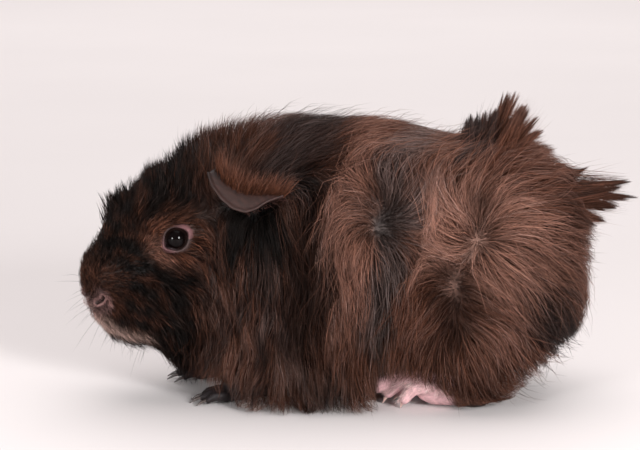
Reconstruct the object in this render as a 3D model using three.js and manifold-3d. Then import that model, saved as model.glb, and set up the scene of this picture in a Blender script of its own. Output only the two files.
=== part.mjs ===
// A life-size Abyssinian guinea pig, crouching with its head turned a little to its left.
// Millimetres, +Z up. The nose points to -X, the rump to +X and the animal's left side to -Y.
// The origin lies on the floor, in the middle of the flat where the belly coat rests.
// Every shape reaches to the tips of the coat. The body is one blended form that is parted by thin cuts.
import * as THREE from "three";
import { mergeVertices } from "three/addons/utils/BufferGeometryUtils.js";
import Module from "manifold-3d";

// Driving dimensions.
const BACK_HEIGHT = 119; // floor to the coat tips over the shoulders
const HIP_HALF_WIDTH = 54; // middle to the coat tips at the thighs
const CHEST_HALF_WIDTH = 42;
const RUMP_X = 102; // rear of the hindquarters
const NECK = [-45, 0, 60]; // the point that the head turns about
const HEAD_TURN = 12; // degrees, towards the animal's left
// The eye and its lids' rim, in the head's own axes, from NECK. The rim stands proud and faces a little forward.
const EYE = { at: [-27.2, 22, 10], radius: 5.2, lid: 1.1, lidProud: 2.2, lidTurn: 10 };
const EAR = { root: [-38, 30, 94], width: 32, reach: 18, thickness: 1.3, splay: 20 };
const NOSTRIL = { at: [-58.5, 3.8, -17.8], radius: 1.5, depth: 4 }; // in the head's own axes
const FOREFOOT = { length: 22, width: 12, height: 8, toes: 4, toeRadius: 2, claw: 4.5, detail: 1 };
const HINDFOOT = { length: 44, width: 14, height: 10, toes: 3, toeRadius: 2.9, claw: 7, detail: 2 };
const FLOOR_SINK = 4; // how far the trunk's lumps start below the floor, which cuts them flat
const CUT = 0.35; // the gap between neighbouring pieces
const WELD = 1e-4; // corners nearer than this are one
const MARCH = 2; // the step in which a ray looks for the surface
const TRUNK_DETAIL = 8; // how often each edge of the starting ball is divided
const HEAD_DETAIL = 6;

// Colours of the coat and the bare skin.
const CHOCOLATE = 0x4a2c20;
const SABLE = 0x231a19;
const UMBER = 0x5c3a29;
const EAR_BROWN = 0x4d3a38;
const PINK = 0xd9a5a3;
const EYE_BLACK = 0x050506;

const wasm = await Module();
wasm.setup();

// ---- Joining and cutting -------------------------------------------------------------------

// The bare shape, with every shared corner made one.
function bare(geometry) {
  const shape = geometry.clone();
  shape.deleteAttribute("normal");
  shape.deleteAttribute("uv");
  return mergeVertices(shape, WELD);
}

function toSolid(geometry) {
  const merged = bare(geometry);
  return new wasm.Manifold(
    new wasm.Mesh({
      numProp: 3,
      vertProperties: merged.attributes.position.array,
      triVerts: new Uint32Array(merged.index.array),
    }),
  );
}

function toGeometry(solid) {
  const { vertProperties, triVerts } = solid.getMesh();
  const geometry = new THREE.BufferGeometry();
  geometry.setAttribute("position", new THREE.BufferAttribute(vertProperties, 3));
  geometry.setIndex(new THREE.BufferAttribute(triVerts, 1));
  const flat = geometry.toNonIndexed();
  flat.computeVertexNormals();
  return flat;
}

// All the space on the nose's side of a plane through `at`, and `grow` past it.
// The plane faces +X, then leans about Y and swings about Z.
const noseward = (at, lean, swing = 0) => (grow) => {
  const huge = 400;
  const block = new THREE.BoxGeometry(huge, huge, huge).translate(grow - huge / 2, 0, 0);
  block.rotateY(THREE.MathUtils.degToRad(lean)).rotateZ(THREE.MathUtils.degToRad(swing));
  return toSolid(block.translate(...at));
};

const within = (at, size, tilt = 0) => (grow) => {
  const ball = new THREE.SphereGeometry(1, 12, 8).scale(...size.map((radius) => radius + grow));
  return toSolid(ball.rotateY(THREE.MathUtils.degToRad(tilt)).translate(...at));
};

// The largest of the bodies that a cut leaves: the others are slivers at the seams.
function mainBody(solid) {
  return solid.decompose().reduce((best, each) => (each.volume() > best.volume() ? each : best));
}

// ---- Blended forms -------------------------------------------------------------------------

// A lump is an ellipsoid {at, size, tilt}. Its tilt turns it about Y, nose down when positive.
// Paired lumps stand at +Y and -Y.
function lumpDistance(lump, x, y, z) {
  const turn = THREE.MathUtils.degToRad(lump.tilt ?? 0);
  const side = lump.paired ? Math.abs(y) : y;
  const [dx, dy, dz] = [x - lump.at[0], side - lump.at[1], z - lump.at[2]];
  const px = dx * Math.cos(turn) - dz * Math.sin(turn);
  const pz = dx * Math.sin(turn) + dz * Math.cos(turn);
  const near = Math.hypot(px / lump.size[0], dy / lump.size[1], pz / lump.size[2]);
  const steep = Math.hypot(px / lump.size[0] ** 2, dy / lump.size[1] ** 2, pz / lump.size[2] ** 2);
  return near < 1e-6 ? -Math.min(...lump.size) : (near * (near - 1)) / steep;
}

function softMin(a, b, blend) {
  const share = Math.max(blend - Math.abs(a - b), 0) / blend;
  return Math.min(a, b) - (share * share * blend) / 4;
}

const blended = (lumps, blend) => (x, y, z) =>
  lumps.reduce((sum, lump) => softMin(sum, lumpDistance(lump, x, y, z), lump.blend ?? blend), 1e3);

// Stretches a ball of triangles from its centre out to where the field is zero.
function stretchedBall(centre, detail, field, grow = 0, reach = 160) {
  const ball = bare(new THREE.IcosahedronGeometry(1, detail));
  const position = ball.attributes.position;
  const ray = new THREE.Vector3();
  for (let i = 0; i < position.count; i++) {
    ray.fromBufferAttribute(position, i).normalize();
    const at = (t) => field(centre[0] + ray.x * t, centre[1] + ray.y * t, centre[2] + ray.z * t) - grow;
    let outer = reach;
    while (outer > MARCH && at(outer - MARCH) > 0) outer -= MARCH;
    let inner = outer - MARCH;
    for (let halving = 0; halving < 12; halving++) {
      const middle = (inner + outer) / 2;
      if (at(middle) > 0) outer = middle;
      else inner = middle;
    }
    position.setXYZ(i, ...centre.map((c, axis) => c + ray.getComponent(axis) * inner));
  }
  return toSolid(ball);
}

// A tapered lock of hair, or a claw: a cone that swells a little, with its middle carried over by `bend`.
function lock({ root, tip, radius, bend = [0, 0, 0], flatten = 0.8, sides = 9, steps = 4 }) {
  const [from, to] = [new THREE.Vector3(...root), new THREE.Vector3(...tip)];
  const length = from.distanceTo(to);
  const cone = new THREE.ConeGeometry(radius, length, sides, steps).translate(0, length / 2, 0);
  const position = cone.attributes.position;
  for (let i = 0; i < position.count; i++) {
    const along = position.getY(i) / length;
    const swell = 1 + 0.9 * along * (1 - along);
    position.setX(i, position.getX(i) * swell);
    position.setZ(i, position.getZ(i) * swell * flatten);
  }
  const direction = to.clone().sub(from).normalize();
  cone.applyQuaternion(new THREE.Quaternion().setFromUnitVectors(new THREE.Vector3(0, 1, 0), direction));
  for (let i = 0; i < position.count; i++) {
    const point = new THREE.Vector3().fromBufferAttribute(position, i);
    const along = Math.max(point.dot(direction) / length, 0);
    const sag = along * (1 - along) * 4;
    position.setXYZ(i, point.x + bend[0] * sag, point.y + bend[1] * sag, point.z + bend[2] * sag);
  }
  return toSolid(cone.translate(...root));
}

// ---- The trunk's form ----------------------------------------------------------------------

const middle = (BACK_HEIGHT - FLOOR_SINK) / 2;
const halfHeight = (BACK_HEIGHT + FLOOR_SINK) / 2;
const trunkLumps = [
  { at: [-24, 0, middle], size: [38, CHEST_HALF_WIDTH - 3, halfHeight] }, // shoulders and chest
  { at: [16, 0, middle - 1], size: [46, CHEST_HALF_WIDTH + 3, halfHeight - 1] }, // loin and belly
  { at: [-6, 17, 78], size: [52, 23, 32], paired: true }, // the broad of the back
  { at: [RUMP_X - 46, 0, 60], size: [48, 44, 50], tilt: -6 }, // hindquarters
  { at: [54, 30, 40], size: [39, HIP_HALF_WIDTH - 30, 36], tilt: -8, paired: true }, // thighs
  { at: [84, 14, 44], size: [19, 22, 20], tilt: -20, paired: true, blend: 12 }, // coat behind the thighs
  { at: [-30, 21, 20], size: [29, 18, 26], paired: true, blend: 10 }, // coat hanging over the forelegs
  { at: [3, 23, 20], size: [22, 16, 25], paired: true, blend: 10 }, // coat hanging down the flanks
  { at: [-52, 0, 74], size: [28, 33, 39] }, // mane over the neck
  { at: [72, 0, 90], size: [17, 21, 21], tilt: -24, blend: 14 }, // foot of the rump crest
  { at: [94, 0, 82], size: [16, 23, 13], tilt: -14, blend: 18 }, // foot of the tail tuft
];
// The middles of the whorls that the coat grows out from, each a shallow dimple.
const whorls = [
  { at: [20, 46, 78], radius: 15, depth: 4 },
  { at: [56, 48, 70], radius: 15, depth: 4 },
  { at: [46, 54, 36], radius: 13, depth: 3 },
];
const trunkForm = blended(trunkLumps, 14);

const trunkField = (x, y, z) =>
  whorls.reduce((sum, { at, radius, depth }) => {
    const away = Math.hypot(x - at[0], Math.abs(y) - at[1], z - at[2]) / radius;
    return sum + depth * Math.exp(-away * away * 1.5);
  }, trunkForm(x, y, z));

// ---- The head's form, in its own axes ------------------------------------------------------

const headLumps = [
  { at: [-23, 0, 14], size: [32, 24.5, 21], tilt: -20 }, // cranium
  { at: [-43, 0, -3], size: [17, 15, 22], tilt: 18 }, // bridge of the nose
  { at: [-50, 0, -16], size: [13.5, 13.5, 14], tilt: 10 }, // muzzle
  { at: [-42, 0, -27], size: [15, 11.5, 9], tilt: 12, blend: 5 }, // lower jaw
  { at: [-24, 14, -11], size: [23, 16.5, 24], paired: true }, // cheeks
  { at: [-14, 0, -18], size: [26, 31, 31] }, // ruff of the throat
  { at: [-43, 0, 18], size: [9, 12, 7], tilt: -30, blend: 10 }, // foot of the crown tuft
];
const headShape = blended(headLumps, 9);
const turnCos = Math.cos(THREE.MathUtils.degToRad(HEAD_TURN));
const turnSin = Math.sin(THREE.MathUtils.degToRad(HEAD_TURN));

const headField = (x, y, z) => {
  const [dx, dy] = [x - NECK[0], y - NECK[1]];
  return headShape(dx * turnCos + dy * turnSin, dy * turnCos - dx * turnSin, z - NECK[2]);
};

// From the head's own axes to the part's.
function onHead([x, y, z]) {
  return [NECK[0] + x * turnCos - y * turnSin, NECK[1] + x * turnSin + y * turnCos, NECK[2] + z];
}

// ---- Tufts that stand out of the outline -----------------------------------------------------

const tuftLocks = [
  { root: onHead([-30, 0, 0]), tip: onHead([-54.5, 0, 27]), radius: 20 }, // crown
  { root: [64, 0, 72], tip: [74, -2, 127], radius: 30, bend: [1, 0, 2], flatten: 1 }, // rump crest
  { root: [64, 8, 70], tip: [76, 14, 118], radius: 28, bend: [1, 0, 2] },
  { root: [64, -8, 70], tip: [76, -15, 117], radius: 28, bend: [1, 0, 2] },
  { root: [66, -2, 66], tip: [118, -5, 91], radius: 26, bend: [0, 0, 5] }, // tail tuft
  { root: [66, -10, 60], tip: [114, -18, 80], radius: 26, bend: [0, 0, 4] },
  { root: [66, 10, 60], tip: [114, 16, 83], radius: 26, bend: [0, 0, 4] },
];

// ---- Ears, eyes and feet -----------------------------------------------------------------------

// A drooping petal, bowed across its width. `side` is -1 for the left ear and 1 for the right.
function ear(side) {
  const [across, out] = [8, 4];
  const petal = bare(new THREE.BoxGeometry(1, 1, EAR.thickness, across, out, 1));
  const position = petal.attributes.position;
  for (let i = 0; i < position.count; i++) {
    const share = position.getX(i) * 2; // -1 at the front edge, 1 at the rear
    const along = position.getY(i) + 0.5; // 0 at the root, 1 at the rim
    const half = (EAR.width / 2) * (1 - 0.12 * along);
    const reach = (EAR.reach * Math.sqrt(1 - 0.8 * share ** 2) + 4) * along - 4;
    const rise = -2.6 * share - 4 * Math.cos(Math.PI * share * 0.5) * along - 3 * along ** 2;
    position.setXYZ(i, half * share, side * reach, position.getZ(i) + rise);
  }
  if (side < 0) {
    const index = petal.index.array;
    for (let i = 0; i < index.length; i += 3) [index[i + 1], index[i + 2]] = [index[i + 2], index[i + 1]];
  }
  petal.rotateZ(THREE.MathUtils.degToRad(HEAD_TURN + side * EAR.splay));
  const shift = side < 0 ? 0 : -4; // the turned head carries the far ear towards the nose
  return toSolid(petal.translate(EAR.root[0] + shift, side * EAR.root[1], EAR.root[2]));
}

const eyeAt = (side) => onHead([EYE.at[0], side * EYE.at[1], EYE.at[2]]);
const eyeball = (side, grow) => {
  const ball = new THREE.SphereGeometry(EYE.radius + grow, 12, 7).rotateX(Math.PI / 2);
  return toSolid(ball.translate(...eyeAt(side)));
};

// The rounded rim of the lids, a ring that faces out to the side.
function lids(side) {
  const ring = new THREE.TorusGeometry(EYE.radius, EYE.lid, 4, 12).rotateX(Math.PI / 2);
  ring.rotateZ(THREE.MathUtils.degToRad(HEAD_TURN - side * EYE.lidTurn));
  const [x, y, z] = eyeAt(side);
  return toSolid(ring.translate(x, y + side * EYE.lidProud, z));
}

function nostril(side) {
  const [x, y, z] = NOSTRIL.at;
  const root = onHead([x + NOSTRIL.depth, side * y * 0.6, z + 1]);
  const mouth = onHead([x - NOSTRIL.depth, side * (y + 3.5), z - 1]);
  return lock({ root: mouth, tip: root, radius: NOSTRIL.radius * 2, sides: 7, steps: 1 });
}

// A foot lies along +X from its heel at the origin, fans its toes and ends them in claws.
function foot({ length, width, height, toes, toeRadius, claw, detail }) {
  const palm = length * 0.62;
  const sole = [{ at: [palm * 0.5, 0, height * 0.42], size: [palm * 0.62, width / 2, height * 0.6] }];
  let solid = stretchedBall([palm * 0.5, 0, height * 0.4], detail, blended(sole, 4), 0, 60);
  for (let toe = 0; toe < toes; toe++) {
    const spread = (toe / (toes - 1)) * 2 - 1;
    const knuckle = [palm * 0.8, spread * width * 0.28, height * 0.34];
    const end = [length - claw - Math.abs(spread) * toeRadius, spread * width * 0.5, toeRadius * 0.9];
    const clawRoot = [end[0] - 1, end[1], end[2] + 0.4];
    const clawTip = [end[0] + claw, end[1] * 1.08, 0.5];
    const nail = { root: clawRoot, tip: clawTip, radius: toeRadius * 0.55, sides: 5, steps: 2 };
    solid = solid.add(digit(knuckle, end, toeRadius)).add(lock(nail));
  }
  return solid;
}

// A finger-like length with round ends.
function digit(from, to, radius) {
  const [start, end] = [new THREE.Vector3(...from), new THREE.Vector3(...to)];
  const along = end.clone().sub(start);
  const capsule = new THREE.CapsuleGeometry(radius, along.length(), 1, 5);
  const up = new THREE.Vector3(0, 1, 0);
  capsule.applyQuaternion(new THREE.Quaternion().setFromUnitVectors(up, along.normalize()));
  return toSolid(capsule.translate(...start.add(end).multiplyScalar(0.5).toArray()));
}

// Sets a foot down with its heel at (x, y), its toes swung `swing` degrees from the nose's direction.
const setDown = (spec, x, y, swing) =>
  foot(spec).rotate([0, 0, 180 + swing]).translate([x, y, 0]).intersect(aboveFloor);

// ---- Putting it together -----------------------------------------------------------------------

const aboveFloor = toSolid(new THREE.BoxGeometry(400, 400, 300).translate(0, 0, 150));
const trunkCentre = [8, 0, 55];
const headCentre = onHead([-33, 0, -6]);
const coatForm = (grow) =>
  tuftLocks
    .reduce((sum, each) => sum.add(lock(each)), stretchedBall(trunkCentre, TRUNK_DETAIL, trunkField, grow))
    .add(stretchedBall(headCentre, HEAD_DETAIL, headField, grow));

const parts = {};
const sides = { left: -1, right: 1 };
let rest = coatForm(0).intersect(aboveFloor);
for (const [name, side] of Object.entries(sides)) {
  parts["eye_" + name] = eyeball(side, 0);
  rest = rest.add(lids(side)).subtract(eyeball(side, CUT)).subtract(nostril(side));
}

// Each cut takes the named piece off what is left of the body.
const regions = [
  ["lower_jaw", within(onHead([-42, 0, -40]), [22, 16, 13], 14)],
  ["crown_tuft", within(onHead([-46, 0, 27]), [16, 18, 11], -30)],
  ["rump_crest", within([76, 0, 130], [44, 40, 29], 0)],
  ["tail_tuft", within([120, 0, 86], [31, 40, 23], 10)],
  ["hindleg_left", within([52, -52, 28], [40, 32, 36], -12)],
  ["hindleg_right", within([52, 52, 28], [40, 32, 36], -12)],
  ["foreleg_left", within([-34, -40, 14], [22, 28, 30])],
  ["foreleg_right", within([-42, 38, 14], [22, 28, 30])],
  ["head", noseward([-45, 0, 55], -20, HEAD_TURN)],
  ["neck", noseward([-24, 0, 55], -12, HEAD_TURN / 2)],
  ["chest", noseward([9, 0, 55], -4)],
  ["trunk", noseward([42, 0, 55], 4)],
];
for (const [name, region] of regions) {
  parts[name] = mainBody(rest.intersect(region(0)));
  rest = rest.subtract(region(CUT));
}
parts.hindquarters = mainBody(rest);

const feet = {
  forefoot_left: setDown(FOREFOOT, -41, -22, 4),
  forefoot_right: setDown(FOREFOOT, -54, 17, -4),
  hindfoot_left: setDown(HINDFOOT, 58, -30, 3),
  hindfoot_right: setDown(HINDFOOT, 58, 30, -3),
};
const clearance = coatForm(CUT);
for (const [name, solid] of Object.entries(feet)) parts[name] = mainBody(solid.subtract(clearance));
for (const [name, side] of Object.entries(sides)) {
  parts["ear_" + name] = mainBody(ear(side).subtract(clearance));
}

const finish = (color, roughness) => new THREE.MeshStandardMaterial({ color, roughness, metalness: 0 });
const coat = finish(CHOCOLATE, 0.75);
const darkCoat = finish(SABLE, 0.75);
const paleCoat = finish(UMBER, 0.7);
const looks = {
  head: darkCoat,
  lower_jaw: darkCoat,
  crown_tuft: darkCoat,
  neck: coat,
  foreleg_left: darkCoat,
  foreleg_right: darkCoat,
  rump_crest: coat,
  hindquarters: paleCoat,
  hindleg_left: paleCoat,
  hindleg_right: paleCoat,
  ear_left: finish(EAR_BROWN, 0.6),
  ear_right: finish(EAR_BROWN, 0.6),
  eye_left: finish(EYE_BLACK, 0.05),
  eye_right: finish(EYE_BLACK, 0.05),
  forefoot_left: darkCoat,
  forefoot_right: darkCoat,
  hindfoot_left: finish(PINK, 0.6),
  hindfoot_right: finish(PINK, 0.6),
};

const guineaPig = new THREE.Group();
for (const [name, solid] of Object.entries(parts)) {
  const mesh = new THREE.Mesh(toGeometry(solid), looks[name] ?? coat);
  mesh.name = name;
  guineaPig.add(mesh);
}

export default guineaPig;
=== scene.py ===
"""A rough-coated guinea pig, crouching with its head turned a little to its left.

Blender works in metres. The sizes and places below are in millimetres, in the row's frame:
the nose points to -X, the rump to +X, the animal's left side to -Y, and the floor is at z = 0.
"""

import math

import bmesh
import bpy
import numpy as np
from mathutils import Matrix, Vector
from mathutils.bvhtree import BVHTree
from mathutils.kdtree import KDTree


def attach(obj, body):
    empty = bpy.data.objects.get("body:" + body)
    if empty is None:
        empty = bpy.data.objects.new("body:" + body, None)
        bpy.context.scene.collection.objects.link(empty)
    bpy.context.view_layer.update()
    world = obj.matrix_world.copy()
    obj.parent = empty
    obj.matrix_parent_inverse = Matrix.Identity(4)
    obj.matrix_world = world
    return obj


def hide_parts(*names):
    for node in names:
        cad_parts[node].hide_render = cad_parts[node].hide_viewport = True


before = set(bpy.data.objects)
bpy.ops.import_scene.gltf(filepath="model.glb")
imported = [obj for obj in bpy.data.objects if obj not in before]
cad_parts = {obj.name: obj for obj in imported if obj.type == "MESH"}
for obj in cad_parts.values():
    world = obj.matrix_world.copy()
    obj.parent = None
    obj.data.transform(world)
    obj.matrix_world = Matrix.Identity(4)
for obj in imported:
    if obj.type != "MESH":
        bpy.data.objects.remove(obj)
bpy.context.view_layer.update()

MM = 0.001
SIDES = {"left": -1, "right": 1}

# ---- Places and sizes ------------------------------------------------------------------------

NECK = np.array([-45.0, 0.0, 60.0])  # the point that the head turns about
HEAD_TURN = math.radians(12)
EYE = np.array([-27.2, 22.0, 10.0])  # in the head's own axes, from NECK
EYE_RADIUS = 5.0
EYE_OUTWARD = np.array([-0.16, 0.97, 0.10])
NOSTRIL = np.array([-55.5, 6.3, -17.4])
MOUTH = np.array([(-61.0, -23.2), (-56.5, -27.2), (-51.0, -30.0), (-44.0, -31.0), (-38.0, -31.8)])  # x, z

# Where the coat's tips end, seen from the side: heights along the body, as x and z, then how far
# the rear and the face reach at each height, as z and x.
TOP_LINE = np.array(
    [(-100, 85), (-88, 87.5), (-80, 95.5), (-74, 97.5), (-70, 101), (-64, 107.5), (-57, 111.5)]
    + [(-42, 116), (-16, 119.5), (6, 119.5), (28, 116), (38, 112), (48, 110.5), (57, 116)]
    + [(66, 122), (73, 128), (82, 111), (92, 97.5), (103, 92), (118, 90)]
)
REAR_LINE = np.array(
    [(10, 88), (20, 97), (39, 103), (56, 105), (67, 104), (74, 106), (79, 108), (84, 106)]
    + [(90, 108), (95, 103)]
)
FACE_LINE = np.array([(58, -125), (62, -105), (66, -102), (71, -97), (86, -96.5)])

# The left ear's edges, each from front to rear: where it leaves the hair, and its free edge.
EAR_TOP = np.array(
    [(-49.8, -30, 99.5), (-46.0, -34.5, 95.0), (-41.5, -36.5, 92.4), (-36.4, -37.5, 91)]
    + [(-30, -38, 90.6), (-23, -39, 89.4)]
)
EAR_EDGE = np.array(
    [(-54.2, -34, 97), (-52.3, -39, 92), (-48.6, -42, 87.6), (-43.4, -44, 84.2)]
    + [(-38, -44.5, 82.8), (-33.5, -44, 83.6), (-29, -42.5, 86), (-22.6, -40, 88.2)]
)
RIGHT_EAR_SHIFT = np.array([-4.0, -3.0, 0.0])
EAR_ROOT = np.array([0.0, 14.0, -5.0])  # from the left ear's top edge in to where it grows from the head

FLESH = ["head", "lower_jaw", "neck", "chest", "trunk", "hindquarters"]
FLESH += ["hindleg_left", "hindleg_right", "foreleg_left", "foreleg_right"]
FEET = ["forefoot_left", "forefoot_right", "hindfoot_left", "hindfoot_right"]

CLOSE_CUTS = 0.4  # how far the solids swell, so that the cuts between them close
COARSE_VOXEL = 1.6  # for the body before the coat's depth is taken off
FINE_VOXEL = 1.1  # for the finished skin
EAR_VOXEL = 0.4
CLAW_VOXEL = 0.22
EAR_THICKNESS = 1.0
LOWEST_SKIN = 0.15  # soles and claws are flat on the floor at this height

# How many hairs each part has, with the locks and tufts that they gather into.
COAT_HAIRS, COAT_LOCKS, COAT_TUFTS = 61000, 5600, 1200
FACE_HAIRS, FACE_LOCKS = 27000, 5200
GUARD_HAIRS = 4500
FOOT_HAIRS = 2200
EAR_HAIRS = 900  # on each ear
WHISKER_ROWS, WHISKERS_A_ROW = 4, 5
BROW_HAIRS = 4
CHIN_HAIRS = 16
WHISKER_LIMIT = -122.0  # no whisker reaches further forward
SEED = 7

# Colours, linear.
TAWNY = np.array([0.275, 0.132, 0.094])
WARM = np.array([0.180, 0.080, 0.054])
CHOCOLATE = np.array([0.088, 0.032, 0.018])
SLATE = np.array([0.088, 0.057, 0.050])
SABLE = np.array([0.036, 0.021, 0.018])
INK = np.array([0.009, 0.006, 0.005])
LID_PINK = np.array([0.125, 0.052, 0.055])
NOSE_BROWN = np.array([0.180, 0.096, 0.089])
LIP_FAWN = np.array([0.33, 0.215, 0.18])
EAR_GREY = np.array([0.027, 0.0110, 0.0088])
EAR_RED = np.array([0.022, 0.0090, 0.0068])
FOREFOOT_GREY = np.array([0.011, 0.0072, 0.0080])
FOOT_PINK = np.array([0.54, 0.325, 0.335])
FOOT_HAIR = np.array([0.62, 0.44, 0.42])
EYE_BLACK = np.array([0.002, 0.001, 0.001])
EYE_BROWN = np.array([0.012, 0.006, 0.005])
EYE_WHITE = np.array([0.16, 0.13, 0.14])
PALE_CLAW = np.array([0.50, 0.33, 0.29])
DARK_CLAW = np.array([0.055, 0.040, 0.036])
FLOOR_WHITE = np.array([0.75, 0.705, 0.70])

rng = np.random.default_rng(SEED)


# ---- Small helpers ---------------------------------------------------------------------------


def unit(vectors):
    """The vectors made of length 1."""
    length = np.linalg.norm(vectors, axis=-1, keepdims=True)
    return vectors / np.maximum(length, 1e-9)


def dot(a, b):
    """The dot product of each pair of rows, as a column."""
    return (a * b).sum(-1, keepdims=True)


def smoothstep(low, high, value):
    """0 at low and 1 at high, with soft ends. low may be the greater of the two."""
    share = np.clip((value - low) / (high - low), 0, 1)
    return share * share * (3 - 2 * share)


def mix(a, b, share):
    """The first at share 0, the second at share 1."""
    return a + (b - a) * share


def on_head(points):
    """From the head's own axes to the row's frame."""
    x, y, z = np.moveaxis(np.asarray(points, float), -1, 0)
    cos, sin = math.cos(HEAD_TURN), math.sin(HEAD_TURN)
    return np.stack([x * cos - y * sin, x * sin + y * cos, z], -1) + NECK


def to_head(points):
    """From the row's frame to the head's own axes."""
    x, y, z = np.moveaxis(np.asarray(points, float) - NECK, -1, 0)
    cos, sin = math.cos(HEAD_TURN), math.sin(HEAD_TURN)
    return np.stack([x * cos + y * sin, y * cos - x * sin, z], -1)


def turn_to_row(direction):
    """Turns a direction from the head's own axes to the row's frame."""
    return on_head(direction) - NECK


def link(name, mesh):
    """Puts a mesh into the scene as an object."""
    thing = bpy.data.objects.new(name, mesh)
    bpy.context.scene.collection.objects.link(thing)
    return thing


def from_bmesh(name, bm):
    """Ends a bmesh as an object in the scene."""
    mesh = bpy.data.meshes.new(name)
    bm.to_mesh(mesh)
    bm.free()
    return link(name, mesh)


def vertices_mm(mesh):
    """The mesh's vertices as rows, in millimetres."""
    co = np.empty(len(mesh.vertices) * 3, np.float32)
    mesh.vertices.foreach_get("co", co)
    return co.reshape(-1, 3).astype(float) / MM


def set_vertices_mm(mesh, points):
    """Moves the mesh's vertices to places given in millimetres."""
    mesh.vertices.foreach_set("co", (points * MM).astype(np.float32).ravel())
    mesh.update()


def normals_of(mesh):
    """The normal at each of the mesh's vertices, as rows."""
    normals = np.empty(len(mesh.vertices) * 3, np.float32)
    mesh.vertex_normals.foreach_get("vector", normals)
    return normals.reshape(-1, 3).astype(float)


def edges_of(mesh):
    """The numbers of each edge's two vertices, as rows."""
    ends = np.empty(len(mesh.edges) * 2, np.int32)
    mesh.edges.foreach_get("vertices", ends)
    return ends.reshape(-1, 2)


def relax(points, edges, times, factor=0.5):
    """Moves points towards the middle of their neighbours, by one factor or one for each point."""
    count = len(points)
    a, b = edges[:, 0], edges[:, 1]
    degree = np.bincount(a, minlength=count) + np.bincount(b, minlength=count)
    for _ in range(times):
        total = np.empty_like(points)
        for axis in range(3):
            column = points[:, axis]
            near = np.bincount(a, column[b], count) + np.bincount(b, column[a], count)
            total[:, axis] = near / np.maximum(degree, 1)
        points = mix(points, total, factor)
    return points


def remeshed(thing, voxel):
    """Replaces an object's mesh by its voxel remesh, of one even skin."""
    remesh = thing.modifiers.new("remesh", "REMESH")
    remesh.mode = "VOXEL"
    remesh.voxel_size = voxel * MM
    remesh.adaptivity = 0
    evaluated = thing.evaluated_get(bpy.context.evaluated_depsgraph_get())
    mesh = bpy.data.meshes.new_from_object(evaluated)
    thing.modifiers.clear()
    old = thing.data
    thing.data = mesh
    bpy.data.meshes.remove(old)


def shade_smooth(mesh):
    """Rounds the shading over the faces' edges."""
    mesh.polygons.foreach_set("use_smooth", np.ones(len(mesh.polygons), bool))


def noise(points, scale, seed):
    """Smooth noise from -1 to 1, as a sum of a few waves whose directions are drawn at random."""
    draw = np.random.default_rng(1000 + seed)
    total = np.zeros(len(points))
    for _ in range(5):
        direction = unit(draw.normal(size=3))
        phase = points @ direction * (2 * math.pi / scale) * draw.uniform(0.7, 1.6)
        total += np.sin(phase + draw.uniform(0, 6.3))
    return total / 2.6


# ---- Materials -------------------------------------------------------------------------------


def new_material(name):
    """A material, with its nodes, their links and its surface shader."""
    material = bpy.data.materials.new(name)
    material.use_nodes = True
    nodes = material.node_tree.nodes
    return material, nodes, material.node_tree.links, nodes["Principled BSDF"]


def grain(nodes, links, scale, detail=3.0):
    """A noise in the piece's own coordinates."""
    place = nodes.new("ShaderNodeTexCoord")
    texture = nodes.new("ShaderNodeTexNoise")
    texture.inputs["Scale"].default_value = scale
    texture.inputs["Detail"].default_value = detail
    links.new(place.outputs["Object"], texture.inputs["Vector"])
    return texture.outputs["Fac"]


def spread(nodes, links, value, low, high):
    """Maps a noise to the range from low to high."""
    ranged = nodes.new("ShaderNodeMapRange")
    ranged.inputs["From Min"].default_value = 0.3
    ranged.inputs["From Max"].default_value = 0.7
    ranged.inputs["To Min"].default_value = low
    ranged.inputs["To Max"].default_value = high
    links.new(value, ranged.inputs["Value"])
    return ranged.outputs["Result"]


def painted(nodes, links, variation):
    """The piece's tone attribute, made a little lighter and darker by a grain."""
    tone = nodes.new("ShaderNodeAttribute")
    tone.attribute_name = "tone"
    scale = nodes.new("ShaderNodeVectorMath")
    scale.operation = "SCALE"
    links.new(tone.outputs["Color"], scale.inputs[0])
    links.new(variation, scale.inputs["Scale"])
    return scale.outputs["Vector"]


def hair_material():
    """Hair of each strand's own tone, with little shine."""
    material, nodes, links, shader = new_material("hair")
    variation = spread(nodes, links, grain(nodes, links, 260), 0.86, 1.14)
    links.new(painted(nodes, links, variation), shader.inputs["Base Color"])
    links.new(spread(nodes, links, grain(nodes, links, 900), 0.38, 0.56), shader.inputs["Roughness"])
    shader.inputs["Specular IOR Level"].default_value = 0.08
    return material


def skin_material(name, roughness):
    """Painted skin with a fine grain that stands out a little."""
    material, nodes, links, shader = new_material(name)
    variation = spread(nodes, links, grain(nodes, links, 700), 0.8, 1.2)
    links.new(painted(nodes, links, variation), shader.inputs["Base Color"])
    uneven = spread(nodes, links, grain(nodes, links, 1500), roughness - 0.1, roughness + 0.15)
    links.new(uneven, shader.inputs["Roughness"])
    shader.inputs["Specular IOR Level"].default_value = 0.3
    add_bump(nodes, links, shader, grain(nodes, links, 2600, 5), 0.25, 0.0004)
    return material


def add_bump(nodes, links, shader, height, strength, distance):
    """Lets a grain stand out of the surface."""
    bump = nodes.new("ShaderNodeBump")
    bump.inputs["Strength"].default_value = strength
    bump.inputs["Distance"].default_value = distance
    links.new(height, bump.inputs["Height"])
    links.new(bump.outputs["Normal"], shader.inputs["Normal"])


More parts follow.
